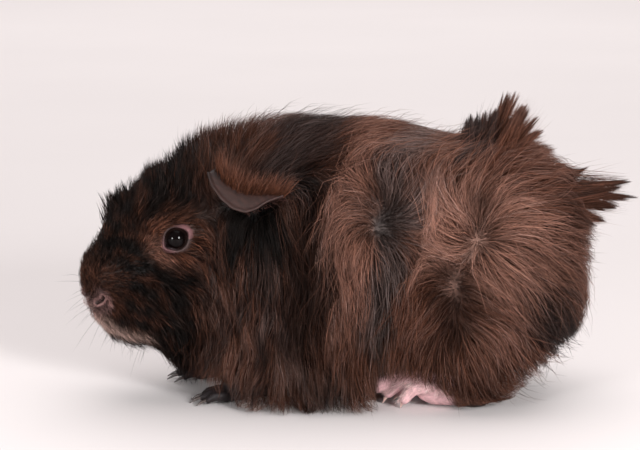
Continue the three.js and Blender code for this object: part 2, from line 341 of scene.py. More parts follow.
def mottled_material(name, colour, roughness, variation, scale, specular=0.5):
    """A colour that a grain makes a little lighter and darker."""
    material, nodes, links, shader = new_material(name)
    lighter = [min(channel * (1 + variation), 1) for channel in colour]
    darker = [channel * (1 - variation) for channel in colour]
    ramp = nodes.new("ShaderNodeValToRGB")
    ramp.color_ramp.elements[0].position = 0.35
    ramp.color_ramp.elements[1].position = 0.65
    ramp.color_ramp.elements[0].color = (*darker, 1)
    ramp.color_ramp.elements[1].color = (*lighter, 1)
    links.new(grain(nodes, links, scale), ramp.inputs["Fac"])
    links.new(ramp.outputs["Color"], shader.inputs["Base Color"])
    shader.inputs["Roughness"].default_value = roughness
    shader.inputs["Specular IOR Level"].default_value = specular
    return material


# ---- Coat colour and painted shade: one plan for skin and coat ---------------------------------

# Patches of each side, in the order that they are painted: tone, centre x and z, half length,
# half width, tilt in degrees, strength.
PATCHES = [
    (CHOCOLATE * 0.75, -28, 60, 70, 34, 90, 0.8),  # the mane
    (TAWNY, 6, 82, 27, 7.5, 90, 0.6),  # before the shoulder whorl
    (WARM, 5, 58, 20, 8, 84, 0.7),
    (SLATE * 1.4, 21, 99, 14, 6, 75, 0.9),  # above the shoulder whorl
    (SLATE * 1.6, 24, 79, 11, 7, 0, 0.9),
    (SLATE * 1.9, 32, 84, 9, 6, 20, 0.8),
    (SLATE * 0.85, 18, 60, 30, 6.5, 84, 0.95),  # the streak below it
    # a thin black line of painted shade in the fold between the flank and the thigh
    (INK * 2, 19, 34, 22, 3, 86, 0.7),
    (WARM, 37, 96, 12, 7.5, 88, 0.8),  # between the whorls
    (WARM, 36, 76, 12, 6, 88, 0.5),
    (TAWNY * 1.05, 57, 70, 26, 18, -4, 0.95),  # round the haunch whorl
    (WARM * 0.75, 70, 48, 24, 14, -25, 0.65),
    (WARM * 0.75, 86, 62, 18, 17, 0, 0.7),
    (CHOCOLATE * 1.15, 82, 88, 15, 12, 20, 0.75),
    (CHOCOLATE, 38, 36, 16, 14, 60, 0.7),  # the thigh
    (WARM, 62, 36, 14, 10, -10, 0.5),
    (SABLE, 42, 114, 22, 6.5, -2, 0.9),  # the saddle before the crest
    (SABLE * 0.8, 50, 101, 11, 4.5, 10, 0.9),
    (SABLE, 53, 110, 6, 10, 10, 0.9),
    (CHOCOLATE * 1.15, 73, 110, 12, 12, 40, 0.7),  # the crest
    (CHOCOLATE * 0.55, 98, 84, 18, 11, 8, 0.9),  # the tail-end tuft
    (SABLE * 0.5, 87, 34, 18, 12, -60, 0.95),  # the rear of the haunch
    (CHOCOLATE * 0.8, 60, 16, 34, 11, 0, 0.7),
    (CHOCOLATE * 0.6, -42, 106, 16, 12, 50, 0.85),  # the neck before the ear
    (SABLE * 0.75, -20, 104, 22, 10, 50, 0.95),  # the band behind it
    (SABLE, 5, 118, 26, 4, 0, 0.7),  # the top of the back
    (INK * 0.7, -35, 77, 15, 11, -20, 1.0),  # black fur, with painted shade in the hollow under the ear
    (CHOCOLATE * 0.16, -12, 70, 38, 9.5, 90, 1.0),  # painted shadow in the fold beside the mane
    (SABLE * 0.8, -31, 46, 22, 4.5, 84, 0.8),  # streaks down the mane
    (SABLE * 0.8, -20, 38, 24, 4, 98, 0.8),
    (SABLE * 0.7, -50, 40, 18, 5, 70, 0.7),
    (INK * 2, -6, 14, 9, 10, 90, 0.8),
]


def patch_share(points, centre_x, centre_z, half_length, half_width, tilt):
    """How far inside a patch each point is, from 0 to 1, with frayed edges."""
    x = points[:, 0] + 3.5 * noise(points, 17, 1) + 1.6 * noise(points, 7, 2)
    z = points[:, 2] + 3.5 * noise(points, 15, 3)
    cos, sin = math.cos(math.radians(tilt)), math.sin(math.radians(tilt))
    along = (x - centre_x) * cos + (z - centre_z) * sin
    across = (z - centre_z) * cos - (x - centre_x) * sin
    return 1 - smoothstep(0.65, 1.35, np.hypot(along / half_length, across / half_width))


def coat_colour_and_shade(points):
    """The coat's colour at each point of the body, with a few patches of painted shade."""
    points = np.asarray(points, float)
    colour = np.tile(CHOCOLATE, (len(points), 1))
    for tone, *shape, strength in PATCHES:
        colour = mix(colour, tone, (strength * patch_share(points, *shape))[:, None])
    head = to_head(points)
    faceness = smoothstep(-4, -20, head[:, 0] + 0.25 * np.abs(head[:, 1]))
    return mix(colour, face_colour_and_shade(head), faceness[:, None])


def face_colour_and_shade(head):
    """The colours of the face, in the head's own axes, with painted shade just under the mouth line."""
    side = np.abs(head[:, 1])
    dark = mix(INK * 0.5, CHOCOLATE * 0.27, smoothstep(-0.3, 0.9, noise(head, 9, 5))[:, None])
    around_eye = np.linalg.norm((head - EYE * [1, 0, 1])[:, ::2] / [17, 10], axis=1)
    on_side_of_face = smoothstep(8, 14, side)
    reddish = smoothstep(1.2, 0.3, around_eye) * on_side_of_face * 0.95
    colour = mix(dark, CHOCOLATE * 0.9, reddish[:, None])
    before_eye = np.linalg.norm((head - [-35.5, 0, 4.5])[:, ::2] / [6.5, 5], axis=1)
    spot = 0.85 * smoothstep(1.2, 0.3, before_eye) * on_side_of_face
    colour = mix(colour, WARM * 0.8, spot[:, None])
    cheek = smoothstep(-26, -12, head[:, 0]) * smoothstep(12, 2, head[:, 2]) * 0.7
    colour = mix(colour, CHOCOLATE * 0.26, cheek[:, None])
    bridge = smoothstep(-46, -55, head[:, 0]) * smoothstep(-26, -20, head[:, 2])
    bridge = bridge * smoothstep(4, -8, head[:, 2])
    colour = mix(colour, CHOCOLATE * 0.55, (0.75 * bridge)[:, None])
    over_mouth = segment_distance(head[:, ::2], MOUTH + [0, 2.6])
    lip = np.exp(-((over_mouth / 2.1) ** 2)) * smoothstep(-35, -44, head[:, 0])
    colour = mix(colour, LIP_FAWN, (0.85 * lip)[:, None])
    colour = mix(colour, NOSE_BROWN, (0.8 * smoothstep(2.8, 1.0, nose_distance(head)))[:, None])
    # Just under the mouth line the tucked lower lip is painted nearly black, as painted shade in the
    # mouth's crease.
    under_mouth = segment_distance(head[:, ::2], MOUTH - [0, 1.6])
    lower_lip = smoothstep(2.2, 1.2, under_mouth) * smoothstep(-36, -44, head[:, 0])
    return mix(colour, INK, lower_lip[:, None])


# ---- The skin ----------------------------------------------------------------------------------


def solids(names, swell):
    """One bmesh of copies of the named solids, each merged and swollen a little."""
    gathered = bmesh.new()
    for name in names:
        piece = bmesh.new()
        piece.from_mesh(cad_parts[name].data)
        bmesh.ops.remove_doubles(piece, verts=piece.verts, dist=1e-6)
        piece.normal_update()
        for vert in piece.verts:
            vert.co += vert.normal * swell * MM
        loose = bpy.data.meshes.new("loose")
        piece.to_mesh(loose)
        piece.free()
        gathered.from_mesh(loose)
        bpy.data.meshes.remove(loose)
    return gathered


def coat_depth(points):
    """How far the skin lies inside the coat's tips."""
    head = to_head(points)
    depth = np.full(len(points), 9.0)
    behind_face = head[:, 0] + 0.35 * np.abs(head[:, 1]) - 0.12 * head[:, 2]
    depth = mix(1.7, depth, smoothstep(-36, 4, behind_face))
    near_floor = smoothstep(0, 24, points[:, 2])
    return depth * mix(0.45, 1.0, near_floor)


def limb(bm, start, end, start_radius, end_radius):
    """A tapered rod with round ends, to be melted into the rest by a remesh."""
    rod = bmesh.new()
    for place, radius in ((start, start_radius), (end, end_radius)):
        where = Matrix.Translation(Vector(np.asarray(place, float) * MM))
        bmesh.ops.create_uvsphere(rod, u_segments=16, v_segments=10, radius=radius * MM, matrix=where)
    hull = bmesh.ops.convex_hull(rod, input=rod.verts)
    inner = [part for part in hull["geom_interior"] if isinstance(part, bmesh.types.BMVert)]
    bmesh.ops.delete(rod, geom=inner, context="VERTS")
    melted = bpy.data.meshes.new("rod")
    rod.to_mesh(melted)
    rod.free()
    bm.from_mesh(melted)
    bpy.data.meshes.remove(melted)


# Toes run from the knuckle over the joint to the root of the claw, and the claw ends at its tip.
# Places are for the left side. The right feet's are mirrored, and the forefoot's are shifted too.
HIND_TOES = [
    [(38, -34.0, 9.4), (30, -35.0, 9.2), (26.2, -33.8, 4.0), (24.6, -32.4, 0.4)],
    [(36, -28.0, 10.2), (25, -26.8, 9.6), (20.0, -25.6, 4.4), (17.6, -24.8, 0.4)],
    [(37, -23.0, 8.0), (29, -21.2, 7.4), (25.0, -20.6, 3.4), (22.2, -20.2, 0.4)],
]
FORE_TOES = [
    [(-48, -27.5, 4.2), (-52.0, -28.8, 4.0), (-54.8, -29.4, 2.3), (-59.4, -30.0, 0.5)],
    [(-49, -24.0, 4.8), (-54.0, -24.6, 4.4), (-57.2, -24.9, 2.4), (-62.2, -25.2, 0.5)],
    [(-49, -20.0, 4.8), (-54.0, -19.8, 4.4), (-57.0, -19.7, 2.4), (-62.0, -19.6, 0.5)],
    [(-48, -16.4, 4.2), (-51.6, -15.4, 4.0), (-54.2, -14.9, 2.3), (-58.6, -14.4, 0.5)],
]
RIGHT_FOREFOOT_SHIFT = np.array([-12.5, -5.0, 0.0])
HIND_TOE_RADIUS = 2.7
FORE_TOE_RADIUS = 1.9


def on_side(points, side, shift=(0, 0, 0)):
    """Places for the left side, or mirrored and shifted for the right one."""
    points = np.array(points, float)
    if side > 0:
        points = points * [1, -1, 1] + shift
    return points


def toes_of(kind, side):
    """The toes of one hind foot or forefoot, each as its knuckle, joint, claw root and claw tip."""
    if kind == "hind":
        return [on_side(toe, side) for toe in HIND_TOES]
    return [on_side(toe, side, RIGHT_FOREFOOT_SHIFT) for toe in FORE_TOES]


def add_feet(bm):
    """The legs' lower ends and the feet, without claws."""
    for side in SIDES.values():
        heel, sole, shank = on_side([(55, -30, 4.6), (39, -29.0, 7.4), (52, -31, 26)], side)
        limb(bm, heel, sole, 4.8, 6.4)
        limb(bm, sole, sole + [-3, 0, 0.6], 6.6, 5.8)
        limb(bm, heel + [2, 0, 2], shank, 6.5, 12)
        palm, wrist, elbow = on_side(
            [(-47.5, -22, 3.6), (-42, -22, 5.5), (-36, -22, 26)], side, RIGHT_FOREFOOT_SHIFT
        )
        limb(bm, palm, wrist, 3.6, 4.4)
        limb(bm, palm + [0, 3.2, 0], palm + [0, -3.2, 0], 3.2, 3.2)
        limb(bm, wrist, elbow, 5.0, 8)
        for kind, radius in (("hind", HIND_TOE_RADIUS), ("fore", FORE_TOE_RADIUS)):
            for toe in toes_of(kind, side):
                limb(bm, toe[0], toe[1], radius * 1.1, radius)
                limb(bm, toe[1], toe[2], radius, radius * 0.82)


INSET_STEPS = 8


def inset_body():
    """The body's skin: the solids' form drawn in by the coat's depth, and smoothed."""
    body = from_bmesh("skin", solids(FLESH, CLOSE_CUTS))
    remeshed(body, COARSE_VOXEL)
    points, edges = relax(vertices_mm(body.data), edges_of(body.data), 10), edges_of(body.data)
    depth = coat_depth(points)
    for _ in range(INSET_STEPS):
        set_vertices_mm(body.data, points)
        points = points - normals_of(body.data) * depth[:, None] / INSET_STEPS
        points = relax(points, edges, 2, 0.4)
    under_crest = smoothstep(42, 54, points[:, 0]) * smoothstep(66, 80, points[:, 2])
    set_vertices_mm(body.data, relax(points, edges, 90, 0.5 * under_crest[:, None]))
    return body


def eye_frame(side):
    """The eye's centre and its outward, forward and upward directions, in the row's frame."""
    centre = on_head(EYE * [1, side, 1])
    outward = unit(turn_to_row(EYE_OUTWARD * [1, side, 1]))
    forward = unit(np.cross([0, 0, 1], outward) * side)
    upward = unit(np.cross(outward, forward) * side)
    return centre, outward, forward, upward


def eye_ring(points, side):
    """Distance round the lids' opening, 1 at its edge, with the height out of the eye's middle."""
    centre, outward, forward, upward = eye_frame(side)
    away = points - centre
    height = away @ outward
    ahead, above = away @ forward, away @ upward
    angle = np.degrees(np.arctan2(above, ahead))
    front_corner = np.exp(-(((angle + 38) / 22) ** 2)) * 0.9
    rear_corner = np.exp(-((((angle - 150 + 180) % 360 - 180) / 26) ** 2)) * 0.7
    opening = 4.75 + front_corner + rear_corner
    return np.hypot(ahead, above) / opening, height, angle


# The lids' section: distance from the eye's middle, 1 at their edge, and height.
LID_PROFILE = np.array(
    [(0.0, -3.0), (0.82, -2.0), (0.92, 1.6), (1.0, 2.6), (1.09, 2.8), (1.20, 2.45)]
    + [(1.4, 1.7), (1.8, 1.5)]
)


def sculpt_lids(points):
    """Sinks the skin behind each eye and raises the lids round it."""
    for side in SIDES.values():
        ring, height, _ = eye_ring(points, side)
        _, outward, _, _ = eye_frame(side)
        wanted = np.interp(ring, LID_PROFILE[:, 0], LID_PROFILE[:, 1])
        hold = smoothstep(2.1, 1.35, ring) * (height > -6)
        points = points + outward * (hold * (wanted - height))[:, None]
    return points


def segment_distance(points, corners):
    """Distance from each point to a line through the corners."""
    best = np.full(len(points), 1e9)
    for start, end in zip(corners[:-1], corners[1:]):
        along = end - start
        share = np.clip(((points - start) @ along) / (along @ along), 0, 1)
        best = np.minimum(best, np.linalg.norm(points - (start + share[:, None] * along), axis=1))
    return best


def nostril_distance(head):
    """Distance to the middle line of the nostrils. Each is a comma whose tail turns up and back."""
    comma = np.array([(-2.7, -1.4), (-0.9, -0.9), (0.8, 0.1), (2.0, 1.6)])
    back = (np.abs(head[:, 1]) - NOSTRIL[1] + head[:, 0] - NOSTRIL[0]) * math.sqrt(0.5)
    return segment_distance(np.stack([back, head[:, 2] - NOSTRIL[2]], 1), comma)


def nose_distance(head):
    """1 at the edge of the bare skin round the nostrils and of the strip between them."""
    strip = np.linalg.norm((head - [-60.0, 0, -19.5]) / [7.0, 1.6, 3.0], axis=1)
    return np.minimum(nostril_distance(head) / 1.65, strip)


def sculpt_muzzle(points, normals):
    """Nose, nostrils, the groove between them, the mouth line and the lips."""
    head = to_head(points)
    side = np.abs(head[:, 1])
    forward = smoothstep(-36, -46, head[:, 0])
    tip = smoothstep(-48, -55, head[:, 0])
    beside_nose = mix(0.4, 1.6, smoothstep(0.5, 5, side)) * np.exp(-(((head[:, 2] + 20) / 5.5) ** 2))
    move = tip * (1.8 * np.exp(-(((head[:, 2] + 4) / 8) ** 2)) - beside_nose)
    # The mouth line runs back under the cheek, and the lips bulge above and below it.
    to_mouth = segment_distance(head[:, ::2], MOUTH)
    move -= 2.2 * np.exp(-((to_mouth / 0.9) ** 2)) * forward
    move += 1.2 * np.exp(-(((to_mouth - 3.0) / 1.9) ** 2)) * forward
    # The groove from the nose down to the split of the upper lip.
    groove = smoothstep(-14, -18, head[:, 2]) * smoothstep(-30, -27, head[:, 2]) * tip
    move -= 1.7 * np.exp(-((side / 0.8) ** 2)) * groove
    to_comma = nostril_distance(head)
    move += tip * (0.4 * np.exp(-(((to_comma - 1.5) / 0.8) ** 2)) - 2.6 * np.exp(-((to_comma / 0.62) ** 2)))
    points = points + normals * move[:, None]
    throat = np.exp(-(((head[:, 0] + 31) / 8) ** 2)) * smoothstep(-24, -34, head[:, 2])
    lower_lip = np.exp(-(((head[:, 0] + 53) / 4.5) ** 2)) * smoothstep(-27, -32, head[:, 2])
    return points + np.stack([-0.6 * lower_lip, 0 * throat, 3.2 * throat - 1.6 * lower_lip], 1)


def refine_near(thing, near):
    """Divides the faces whose middle is near, into four each."""
    bm = bmesh.new()
    bm.from_mesh(thing.data)
    middles = np.array([face.calc_center_median() for face in bm.faces]) / MM
    chosen = near(middles)
    edges = {edge for face, wanted in zip(bm.faces, chosen) if wanted for edge in face.edges}
    bmesh.ops.subdivide_edges(bm, edges=list(edges), cuts=1, use_grid_fill=True)
    bmesh.ops.triangulate(bm, faces=[face for face in bm.faces if len(face.verts) > 4])
    bm.to_mesh(thing.data)
    bm.free()


def near_eyes(points, reach=1.9):
    """Whether each point is on or round the lids, out to a reach on the eye's ring."""
    near = np.zeros(len(points), bool)
    for side in SIDES.values():
        ring, height, _ = eye_ring(points, side)
        near |= (ring < reach) & (height > -7) & (height < 9)
    return near


def near_nose(points):
    """Whether each point is on the nose or the lips."""
    head = to_head(points)
    return (head[:, 0] < -50) & (head[:, 2] < -9) & (head[:, 2] > -33) & (np.abs(head[:, 1]) < 12)


def make_skin():
    """One skin for the whole animal, finest round the eyes and the nose."""
    body = inset_body()
    feet = bmesh.new()
    add_feet(feet)
    feet.from_mesh(body.data)
    feet.to_mesh(body.data)
    feet.free()
    remeshed(body, FINE_VOXEL)
    points, edges = vertices_mm(body.data), edges_of(body.data)
    at_feet = smoothstep(16, 12, points[:, 2])[:, None]
    points = relax(points, edges, 6, mix(0.5, 0.18, at_feet))
    set_vertices_mm(body.data, points)
    refine_near(body, lambda middles: near_eyes(middles) | near_nose(middles))
    refine_near(body, lambda middles: near_eyes(middles, 1.4) | near_nose(middles + [4, 0, 0]))
    points = vertices_mm(body.data)
    points = relax(points, edges_of(body.data), 2, 0.5 * near_eyes(points)[:, None])
    set_vertices_mm(body.data, points)
    points = sculpt_muzzle(points, normals_of(body.data))
    points = sculpt_lids(points)
    points[:, 2] = np.maximum(points[:, 2], LOWEST_SKIN)
    set_vertices_mm(body.data, points)
    shade_smooth(body.data)
    return body


def skin_tones(points):
    """The skin has the coat's colour, darker as painted shade under the coat and darker still near the
    floor, with bare lids, nose and hind feet.
    """
    # Painted shade: the skin is half as light as the coat over it, and a fifth as light near the floor.
    tones = coat_colour_and_shade(points) * mix(0.2, 0.5, smoothstep(3, 12, points[:, 2]))[:, None]
    for side in SIDES.values():
        ring, height, angle = eye_ring(points, side)
        rim = smoothstep(1.5, 1.2, ring) * (height > -2) * (height < 6)
        pinkness = np.exp(-(((angle - 140) / 48) ** 2)) + 0.8 * np.exp(-(((angle + 40) / 38) ** 2)) + 0.12
        lid = mix(INK * 3, LID_PINK, np.clip(pinkness, 0, 1)[:, None])
        lid = mix(lid * 0.3, lid, smoothstep(0.92, 1.08, ring)[:, None])
        tones = mix(tones, lid, rim[:, None])
    head = to_head(points)
    tones = mix(tones, NOSE_BROWN, smoothstep(1.3, 1.0, nose_distance(head))[:, None])
    # The nostrils are painted nearly black, as painted shade inside them.
    nostril = smoothstep(0.95, 0.5, nostril_distance(head)) * smoothstep(-48, -53, head[:, 0])
    tones = mix(tones, INK, (nostril * 0.95)[:, None])
    hind = smoothstep(16.5, 14.5, points[:, 2]) * smoothstep(14, 17, points[:, 0])
    hind = hind * smoothstep(48, 44, points[:, 0])
    tones = mix(tones, FOOT_PINK * (1 + 0.12 * noise(points, 6, 31))[:, None], hind[:, None])
    fore = smoothstep(9, 7, points[:, 2]) * smoothstep(-38, -44, points[:, 0])
    return mix(tones, FOREFOOT_GREY, fore[:, None])


def paint(mesh, tones):
    """Stores the colours as the tone attribute, one for each vertex."""
    layer = mesh.color_attributes.new("tone", "FLOAT_COLOR", "POINT")
    rgba = np.ones((len(tones), 4), np.float32)
    rgba[:, :3] = np.clip(tones, 0, 1)
    layer.data.foreach_set("color", rgba.ravel())


# ---- The lie of the coat -----------------------------------------------------------------------

# Where the hair parts: both ends of the parting, hair length, reach, and turn of the swirl.
WHORLS = [
    ((17, -41, 80), (16, -41, 76), 25, 8.0, 12),  # behind the shoulder
    ((56, -43, 78), (56, -43, 75), 28, 8.0, -10),  # on the haunch
    ((45.7, -50.7, 57), (46.7, -51.3, 37), 28, 6.5, 0),  # the parting down the thigh
    ((-37, -38, 86), (-35, -38, 86), 30, 7.0, 0),  # under the ear
]
# How the hair lies elsewhere, on the left side: place, direction, hair length, reach, lift.
STREAMS = [
    ((-20, -41, 88), (-0.1, 0, -1), 32, 7.5, 0.0),  # the mane's column
    ((-14, -41, 66), (0, 0, -1), 32, 7.5, 0.0),
    ((-12, -38, 45), (0, 0, -1), 32, 8.0, 0.0),
    ((-32, -37, 34), (-0.15, 0, -1), 28, 8.0, 0.0),
    ((-8, -35, 12), (0, -0.2, -1), 20, 8.0, 0.0),
    ((-27, -36, 98), (0.55, 0.35, 0.75), 24, 6.0, 0.1),  # the band behind the ear
    ((-19, -20, 113), (0.8, 0.35, 0.5), 24, 8.0, 0.15),
    ((-3, -4, 118), (1, 0.1, 0.2), 24, 8.0, 0.15),
    ((20, 0, 118), (1, 0, 0.1), 24, 7.0, 0.1),
    ((40, 0, 112), (1, 0, 0.1), 24, 6.0, 0.1),
    ((-46, -31, 101), (0.1, -0.1, 1), 16, 6.0, 0.3),  # the ruff over the ear
    ((-52, -20, 104), (-0.35, -0.1, 1), 15, 6.0, 0.45),
    ((-44, -6, 110), (0.15, 0.1, 1), 17, 7.0, 0.5),
    ((-38, -38, 76), (-0.25, -0.1, -1), 28, 6.0, 0.0),  # the fall of hair under the ear
    ((-30, -40, 70), (0.1, -0.1, -1), 30, 6.0, 0.0),
    ((-58, -34, 34), (0, -0.1, -1), 22, 8.0, 0.0),  # the breast
    ((-66, -22, 26), (-0.1, 0, -1), 18, 7.0, 0.15),
    ((-66, 0, 24), (0, 0, -1), 18, 8.0, 0.1),
    ((-40, -34, 12), (0.1, 0, -1), 16, 8.0, 0.0),
    ((16, -41, 24), (-0.35, -0.1, -1), 24, 8.0, 0.0),  # the lower flank
    ((0, -38, 24), (-0.1, -0.1, -1), 26, 8.0, 0.0),
    ((30, -48, 18), (-0.3, -0.1, -1), 20, 7.0, 0.0),
    ((60, -48, 18), (0.5, 0.0, -0.9), 20, 8.0, 0.0),
    ((84, -42, 38), (0.65, 0.3, -0.75), 27, 8.0, 0.12),  # the rear of the haunch
    ((92, -32, 62), (0.9, 0.4, -0.35), 28, 8.0, 0.0),
    ((100, -10, 44), (0.6, 0.1, -0.85), 28, 9.0, 0.2),
    ((80, -30, 14), (0.75, 0.2, -0.6), 20, 9.0, 0.1),
    ((92, -16, 84), (1, 0.1, 0.12), 25, 8.0, 0.2),  # the tail-end tuft
    ((100, 0, 76), (1, 0, -0.1), 25, 7.0, 0.15),
    ((58, -20, 103), (0.4, 0.2, 0.85), 24, 5.5, 0.5),  # the crest
    ((68, -10, 108), (0.5, 0.1, 0.85), 25, 6.0, 0.7),
    ((78, -22, 98), (0.85, 0.1, 0.3), 22, 6.5, 0.2),
    ((0, 0, 4), (0.3, -0.2, 0), 12, 14.0, 0.0),  # the belly
    ((50, 0, 4), (0.3, -0.2, 0), 12, 14.0, 0.0),
]
# The same for the head, in its own axes with the side given as positive.
FACE_STREAMS = [
    ((-60, 2, -14), (0, 0.2, 0.95), 3.0, 3.0, 0.3),  # up from the nose
    ((-60, 4, -6), (0, 0.1, 1), 4.2, 5.0, 0.35),
    ((-60, 8, 4), (-0.15, 0.1, 1), 6.5, 5.0, 0.4),
    ((-53, 4, 16), (-0.35, 0, 1), 8.0, 4.5, 0.45),  # the crown swirl
    ((-50, 6, 24), (0.25, 0, 1), 9.0, 4.5, 0.5),
    ((-42, 6, 28), (-0.35, 0, 1), 14.0, 6.0, 0.95),
    ((-33, 4, 34), (-0.35, 0, 1), 18.0, 6.0, 0.85),
    ((-24, 6, 40), (-0.2, 0, 1), 18.0, 6.0, 0.75),
    ((-12, 16, 44), (0.2, 0, 1), 16.0, 7.0, 0.5),
    ((-46, 16, 10), (0.2, 0, 0.9), 4.0, 5.0, 0.0),  # before the eye
    ((-36, 20, 20), (0.9, 0, 0.45), 4.5, 4.5, 0.0),
    ((-22, 24, 22), (0.95, 0, 0.2), 6.0, 5.0, 0.0),
    ((-16, 27, 8), (0.95, 0.1, -0.25), 8.0, 5.0, 0.0),
    ((-50, 16, -6), (0.8, 0.4, 0.15), 3.2, 5.0, 0.0),  # the side of the muzzle
    ((-38, 22, -6), (0.9, 0.2, -0.3), 4.0, 5.0, 0.0),
    ((-26, 27, -10), (0.8, 0.2, -0.6), 9.0, 6.0, 0.0),
    ((-10, 32, -8), (0.6, 0.2, -0.8), 15.0, 6.0, 0.05),
    ((-52, 12, -20), (0.7, 0.4, -0.5), 4.0, 4.0, 0.0),  # the upper lip
    ((-40, 18, -22), (0.85, 0.2, -0.5), 7.0, 5.0, 0.0),
    ((-26, 24, -26), (0.6, 0.1, -0.8), 12.0, 6.0, 0.05),
    ((-52, 5, -34), (0.25, 0.1, -1), 5.5, 4.0, 0.5),
    ((-44, 8, -37), (0.8, 0.1, -0.6), 5.5, 4.0, 0.2),  # the chin
    ((-36, 8, -38), (0.8, 0.1, -0.6), 8.0, 6.0, 0.1),
]

BODY_DOWN = np.array([0.0, 0.0, -1.0])


def stream_arrays(rows):
    """The rows' columns, with the directions made of length 1."""
    places, directions, lengths, reaches, lifts = zip(*rows)
    return np.array(places, float), unit(np.array(directions, float)), lengths, reaches, lifts


def add_streams(points, rows, total):
    """Adds each stream's pull on the points, with mirror-like halves."""
    side = np.sign(points[:, 1]) + (points[:, 1] == 0)
    flip = np.ones_like(points)
    for place, direction, length, reach, lift in zip(*stream_arrays(rows)):
        flip[:, 1] = side * np.sign(place[1] or 1)
        weight = np.exp(-np.linalg.norm(points * flip - place, axis=1) / reach) * reach
        pull = direction * flip
        total["pull"] += pull * weight[:, None]
        total["weight"] += weight
        total["length"] += weight * length
        total["lift"] += weight * lift


def add_whorls(points, total):
    """Adds each whorl's pull, away from its parting with a swirl, with mirror-like halves."""
    side = np.sign(points[:, 1]) + (points[:, 1] == 0)
    mirrored = points * np.stack([np.ones_like(side), -side, np.ones_like(side)], 1)
    for start, end, length, reach, swirl in WHORLS:
        start, end = np.array(start, float), np.array(end, float)
        along = end - start
        share = np.clip((mirrored - start) @ along / (along @ along), 0, 1)
        away = mirrored - (start + share[:, None] * along)
        distance = np.linalg.norm(away, axis=1)
        weight = np.exp(-distance / reach) * reach
        x, y, z = unit(away).T
        cos, sin = math.cos(math.radians(swirl)), math.sin(math.radians(swirl))
        pull = np.stack([x * cos - z * sin, -side * y, x * sin + z * cos], 1)
        total["pull"] += pull * weight[:, None]
        total["weight"] += weight
        total["length"] += weight * length


def lie(points):
    """The hair's direction, length and lift at each point, from the whorls and the streams."""
    count = len(points)
    body = {key: np.zeros(count) for key in ("weight", "length", "lift")}
    body["pull"] = np.zeros((count, 3))
    face = {key: value.copy() for key, value in body.items()}
    add_whorls(points, body)
    add_streams(points, STREAMS, body)
    add_streams(to_head(points), FACE_STREAMS, face)
    face["pull"] = turn_to_row(face["pull"])
    weight = np.maximum(body["weight"] + face["weight"], 1e-9)
    pull = (body["pull"] + face["pull"]) / weight[:, None]
    return pull, (body["length"] + face["length"]) / weight, (body["lift"] + face["lift"]) / weight


# ---- Distances round the skin ------------------------------------------------------------------

GRID_STEP = 2.5
GRID_REACH = 18.0  # the greatest distance that the grid holds
GRID_MARGIN = 30.0  # round the skin's box


def distance_grid(mesh):
    """Distances from the skin on a grid, negative inside it, with their slopes."""
    points = vertices_mm(mesh)
    mesh.calc_loop_triangles()
    corners = np.empty(len(mesh.loop_triangles) * 3, np.int32)
    mesh.loop_triangles.foreach_get("vertices", corners)
    tree = BVHTree.FromPolygons(points.tolist(), corners.reshape(-1, 3).tolist())
    low = points.min(0) - GRID_MARGIN
    counts = np.ceil((points.max(0) + GRID_MARGIN - low) / GRID_STEP).astype(int) + 1
    values = np.full(counts, GRID_REACH, np.float32)
    for i in range(counts[0]):
        for j in range(counts[1]):
            for k in range(counts[2]):
                place = Vector(low + GRID_STEP * np.array((i, j, k)))
                near, normal, _, distance = tree.find_nearest(place, GRID_REACH)
                if near is not None:
                    values[i, j, k] = math.copysign(distance, (place - near).dot(normal))
    slopes = np.stack(np.gradient(values, GRID_STEP), -1)
    return low, np.concatenate([values[..., None], slopes], -1)


def around(grid, points):
    """The distance from the skin and the outward direction at each point."""
    low, values = grid
    place = np.clip((points - low) / GRID_STEP, 0, np.array(values.shape[:3]) - 1.001)
    cell = place.astype(int)
    share = place - cell
    total = np.zeros((len(points), 4))
    for corner in np.ndindex(2, 2, 2):
        part = np.where(corner, share, 1 - share).prod(1)
        at = cell + corner
        total += values[at[:, 0], at[:, 1], at[:, 2]] * part[:, None]
    return total[:, 0], unit(total[:, 1:])


# ---- Strands -----------------------------------------------------------------------------------

STEPS = 9  # along each strand's path
HEM_FLARE = 8.0  # how far the hem of the chest's and belly's coat stands out


def random_roots(mesh, count, density):
    """Points on the skin with its normals, more of them where the density is higher."""
    points, normals = vertices_mm(mesh), normals_of(mesh)
    mesh.calc_loop_triangles()
    corners = np.empty(len(mesh.loop_triangles) * 3, np.int32)
    mesh.loop_triangles.foreach_get("vertices", corners)
    corners = corners.reshape(-1, 3)
    a, b, c = (points[corners[:, n]] for n in range(3))
    area = np.linalg.norm(np.cross(b - a, c - a), axis=1) / 2
    share = area * density((a + b + c) / 3, normals[corners[:, 0]])
    chosen = rng.choice(len(corners), count, p=share / share.sum())
    u, v = rng.random(count), rng.random(count)
    over = u + v > 1
    u[over], v[over] = 1 - u[over], 1 - v[over]
    weights = np.stack([1 - u - v, u, v], 1)[:, :, None]
    return (points[corners[chosen]] * weights).sum(1), unit((normals[corners[chosen]] * weights).sum(1))


def turned(directions, axes, degrees):
    """Directions turned about their own axes."""
    angle = np.radians(degrees)[:, None]
    return directions * np.cos(angle) + np.cross(axes, directions) * np.sin(angle)


def in_mane(points):
    """1 in the mane, from the cheek to the fold behind it, where the coat is ragged."""
    from_cheek_to_fold = smoothstep(2, -8, points[:, 0]) * smoothstep(-78, -62, points[:, 0])
    return from_cheek_to_fold * smoothstep(94, 82, points[:, 2])


def unevenness(tones, *draws):
    """How much lighter or darker each strand is, more so where the coat is dark."""
    dark = smoothstep(0.10, 0.03, tones.mean(1))
    return np.exp(sum(draws) * mix(0.8, 2.0, dark))[:, None]


def stray(points, own):
    """How many degrees the hair strays from its lie: in wide waves, in locks and hair by hair."""
    wildness = mix(1.0, 1.7, in_mane(points))
    return (14 * noise(points, 26, 11) + 15 * noise(points, 11, 12)) * wildness + own


